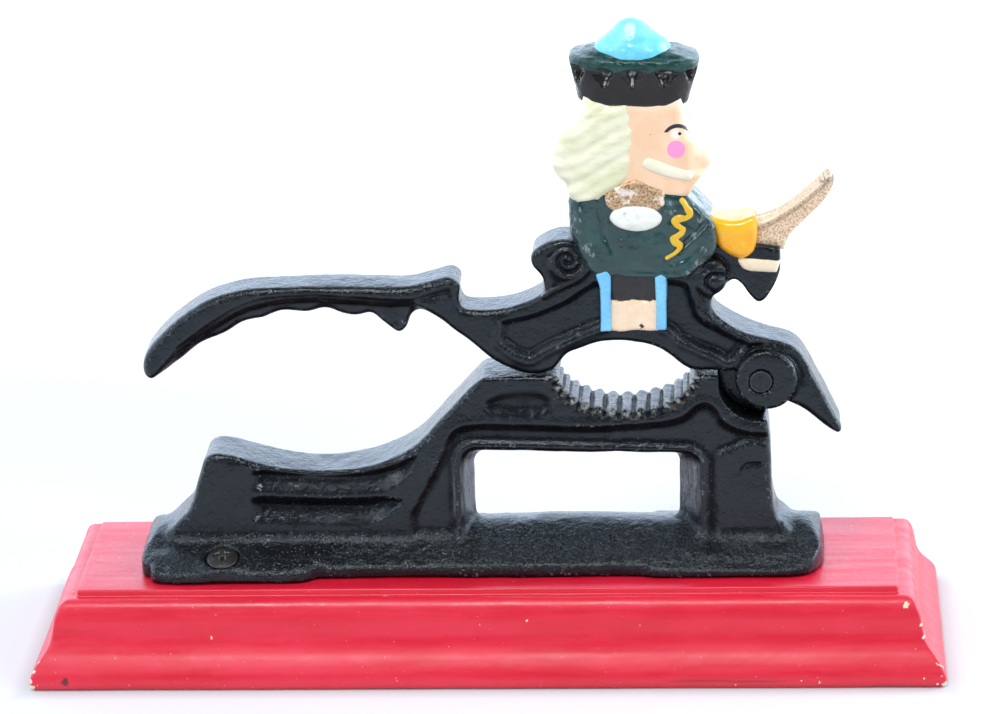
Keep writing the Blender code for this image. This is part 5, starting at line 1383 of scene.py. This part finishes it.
# ------------------------------------------------------------------ floor, light and camera
def stage_and_camera():
    scene = bpy.context.scene
    scene.view_settings.view_transform = "Standard"
    scene.view_settings.look = "None"
    scene.view_settings.exposure = 0.0
    scene.view_settings.gamma = 1.0
    # floor: pale, brighter away from the object
    n = 60
    xs = np.linspace(-6000, 6000, n)
    ys = np.linspace(-3000, 9000, n)
    gx, gy = np.meshgrid(xs, ys, indexing="ij")
    pts = np.stack([gx.ravel(), gy.ravel(), np.full(n * n, -0.05)], 1)
    k = np.arange(n * n).reshape(n, n)
    quads = np.stack([k[:-1, :-1], k[1:, :-1], k[1:, 1:], k[:-1, 1:]], -1).reshape(-1, 4)
    made, s = material("studio_floor", (0.67, 0.68, 0.695), 0.8)
    x, y, z = s.xyz()
    # lit from below like a light table, except in front, where it stays plain
    far = s.ramp(s.most(s.math("ABSOLUTE", x), y), 160.0, 500.0)
    # painted shadow: the glow is turned down within 7 mm of the board, leaving a dark ring round its foot
    out = s.most(s.sub(s.math("ABSOLUTE", x), 126.6), s.sub(s.math("ABSOLUTE", y), 37.7))
    glow = s.mix(s.ramp(out, 0.0, 7.0), (0.03, 0.03, 0.032, 1.0), (0.24, 0.245, 0.262, 1.0))
    glow = s.mix(far, glow, (1.1, 1.15, 1.2, 1.0))
    glow = s.mix(s.ramp(y, -75.0, -150.0), glow, (0.04, 0.04, 0.045, 1.0))
    s.tree.links.new(glow, s.out.inputs["Emission Color"])
    s.out.inputs["Emission Strength"].default_value = 1.0
    mesh = bpy.data.meshes.new("studio_floor")
    mesh.from_pydata((pts * MM).tolist(), [], quads.tolist())
    floor = bpy.data.objects.new("studio_floor", mesh)
    scene.collection.objects.link(floor)
    mesh.materials.append(made)
    # white studio all round: brightest behind the object
    world = bpy.data.worlds.new("studio")
    world.use_nodes = True
    scene.world = world
    t = world.node_tree
    back = t.nodes["Background"]
    coord = t.nodes.new("ShaderNodeTexCoord")
    split = t.nodes.new("ShaderNodeSeparateXYZ")
    t.links.new(coord.outputs["Generated"], split.inputs[0])

    def turn_up(source, low, high):
        ramp = t.nodes.new("ShaderNodeMapRange")
        ramp.interpolation_type = "SMOOTHSTEP"
        ramp.inputs[1].default_value = low
        ramp.inputs[2].default_value = high
        t.links.new(source, ramp.inputs[0])
        return ramp.outputs[0]

    around = turn_up(split.outputs[1], -0.80, 0.30)
    low_sky = turn_up(split.outputs[2], 0.93, 0.50)
    both = t.nodes.new("ShaderNodeMath")
    both.operation = "MULTIPLY"
    t.links.new(around, both.inputs[0])
    t.links.new(low_sky, both.inputs[1])
    mix = t.nodes.new("ShaderNodeMix")
    mix.data_type = "RGBA"
    t.links.new(both.outputs[0], mix.inputs[0])
    mix.inputs[6].default_value = (0.16, 0.17, 0.19, 1)
    mix.inputs[7].default_value = (2.30, 2.74, 3.36, 1)
    t.links.new(mix.outputs[2], back.inputs[0])
    # the back half gives less fill than gloss, so that matt paint on the far side isn't burnt out
    ray = t.nodes.new("ShaderNodeLightPath")
    rear = turn_up(split.outputs[1], 0.05, 0.60)
    fill = t.nodes.new("ShaderNodeMath")
    fill.operation = "MULTIPLY"
    t.links.new(rear, fill.inputs[0])
    t.links.new(ray.outputs["Is Diffuse Ray"], fill.inputs[1])
    keep = t.nodes.new("ShaderNodeMath")
    keep.operation = "MULTIPLY_ADD"
    t.links.new(fill.outputs[0], keep.inputs[0])
    keep.inputs[1].default_value = -0.72
    keep.inputs[2].default_value = 1.0
    t.links.new(keep.outputs[0], back.inputs[1])

    def area(name, where, look, size, power, colour):
        lamp = bpy.data.lights.new(name, "AREA")
        lamp.shape = "RECTANGLE"
        lamp.size, lamp.size_y = size
        lamp.energy = power
        lamp.color = colour
        obj = bpy.data.objects.new(name, lamp)
        scene.collection.objects.link(obj)
        obj.location = where
        obj.rotation_euler = (Vector(look) - Vector(where)).to_track_quat("-Z", "Y").to_euler()
        return obj

    area("softbox_top", (-0.08, -0.46, 0.98), (0.0, 0.0, 0.08), (0.28, 0.20), 5.0, (1.0, 0.99, 0.97))
    area("softbox_left", (-0.72, -0.86, 0.56), (0.0, 0.0, 0.08), (0.18, 0.28), 2.45, (1.0, 0.99, 0.98))
    area("softbox_right", (0.80, -0.78, 0.60), (0.0, 0.0, 0.08), (0.18, 0.28), 2.2, (1.0, 0.99, 0.98))
    area("softbox_side", (1.05, 0.22, 0.42), (0.10, 0.0, 0.05), (0.40, 0.40), 4.6, (0.97, 0.98, 1.0))

    # camera at the viewing angle fitted to the board's corners
    focal = 4311.651687650999
    where = (0.08040517654, -1.12076321819, 0.49890985805)
    rx, ry, rz = (math.radians(a) for a in (-20.27114597, 1.84516909, 3.87309722))
    turn = (
        Matrix.Rotation(rz, 3, "Z") @ Matrix.Rotation(rx, 3, "X") @ Matrix.Rotation(ry, 3, "Y")
    )
    right, forward, up = turn.col[0], turn.col[1], turn.col[2]
    data = bpy.data.cameras.new("camera")
    data.sensor_width = 36.0
    data.lens = focal / 1000.0 * 36.0
    data.clip_start, data.clip_end = 0.05, 60.0
    camera = bpy.data.objects.new("camera", data)
    scene.collection.objects.link(camera)
    camera.matrix_world = Matrix((
        (right[0], up[0], -forward[0], where[0]),
        (right[1], up[1], -forward[1], where[1]),
        (right[2], up[2], -forward[2], where[2]),
        (0, 0, 0, 1),
    ))
    scene.camera = camera


stage_and_camera()
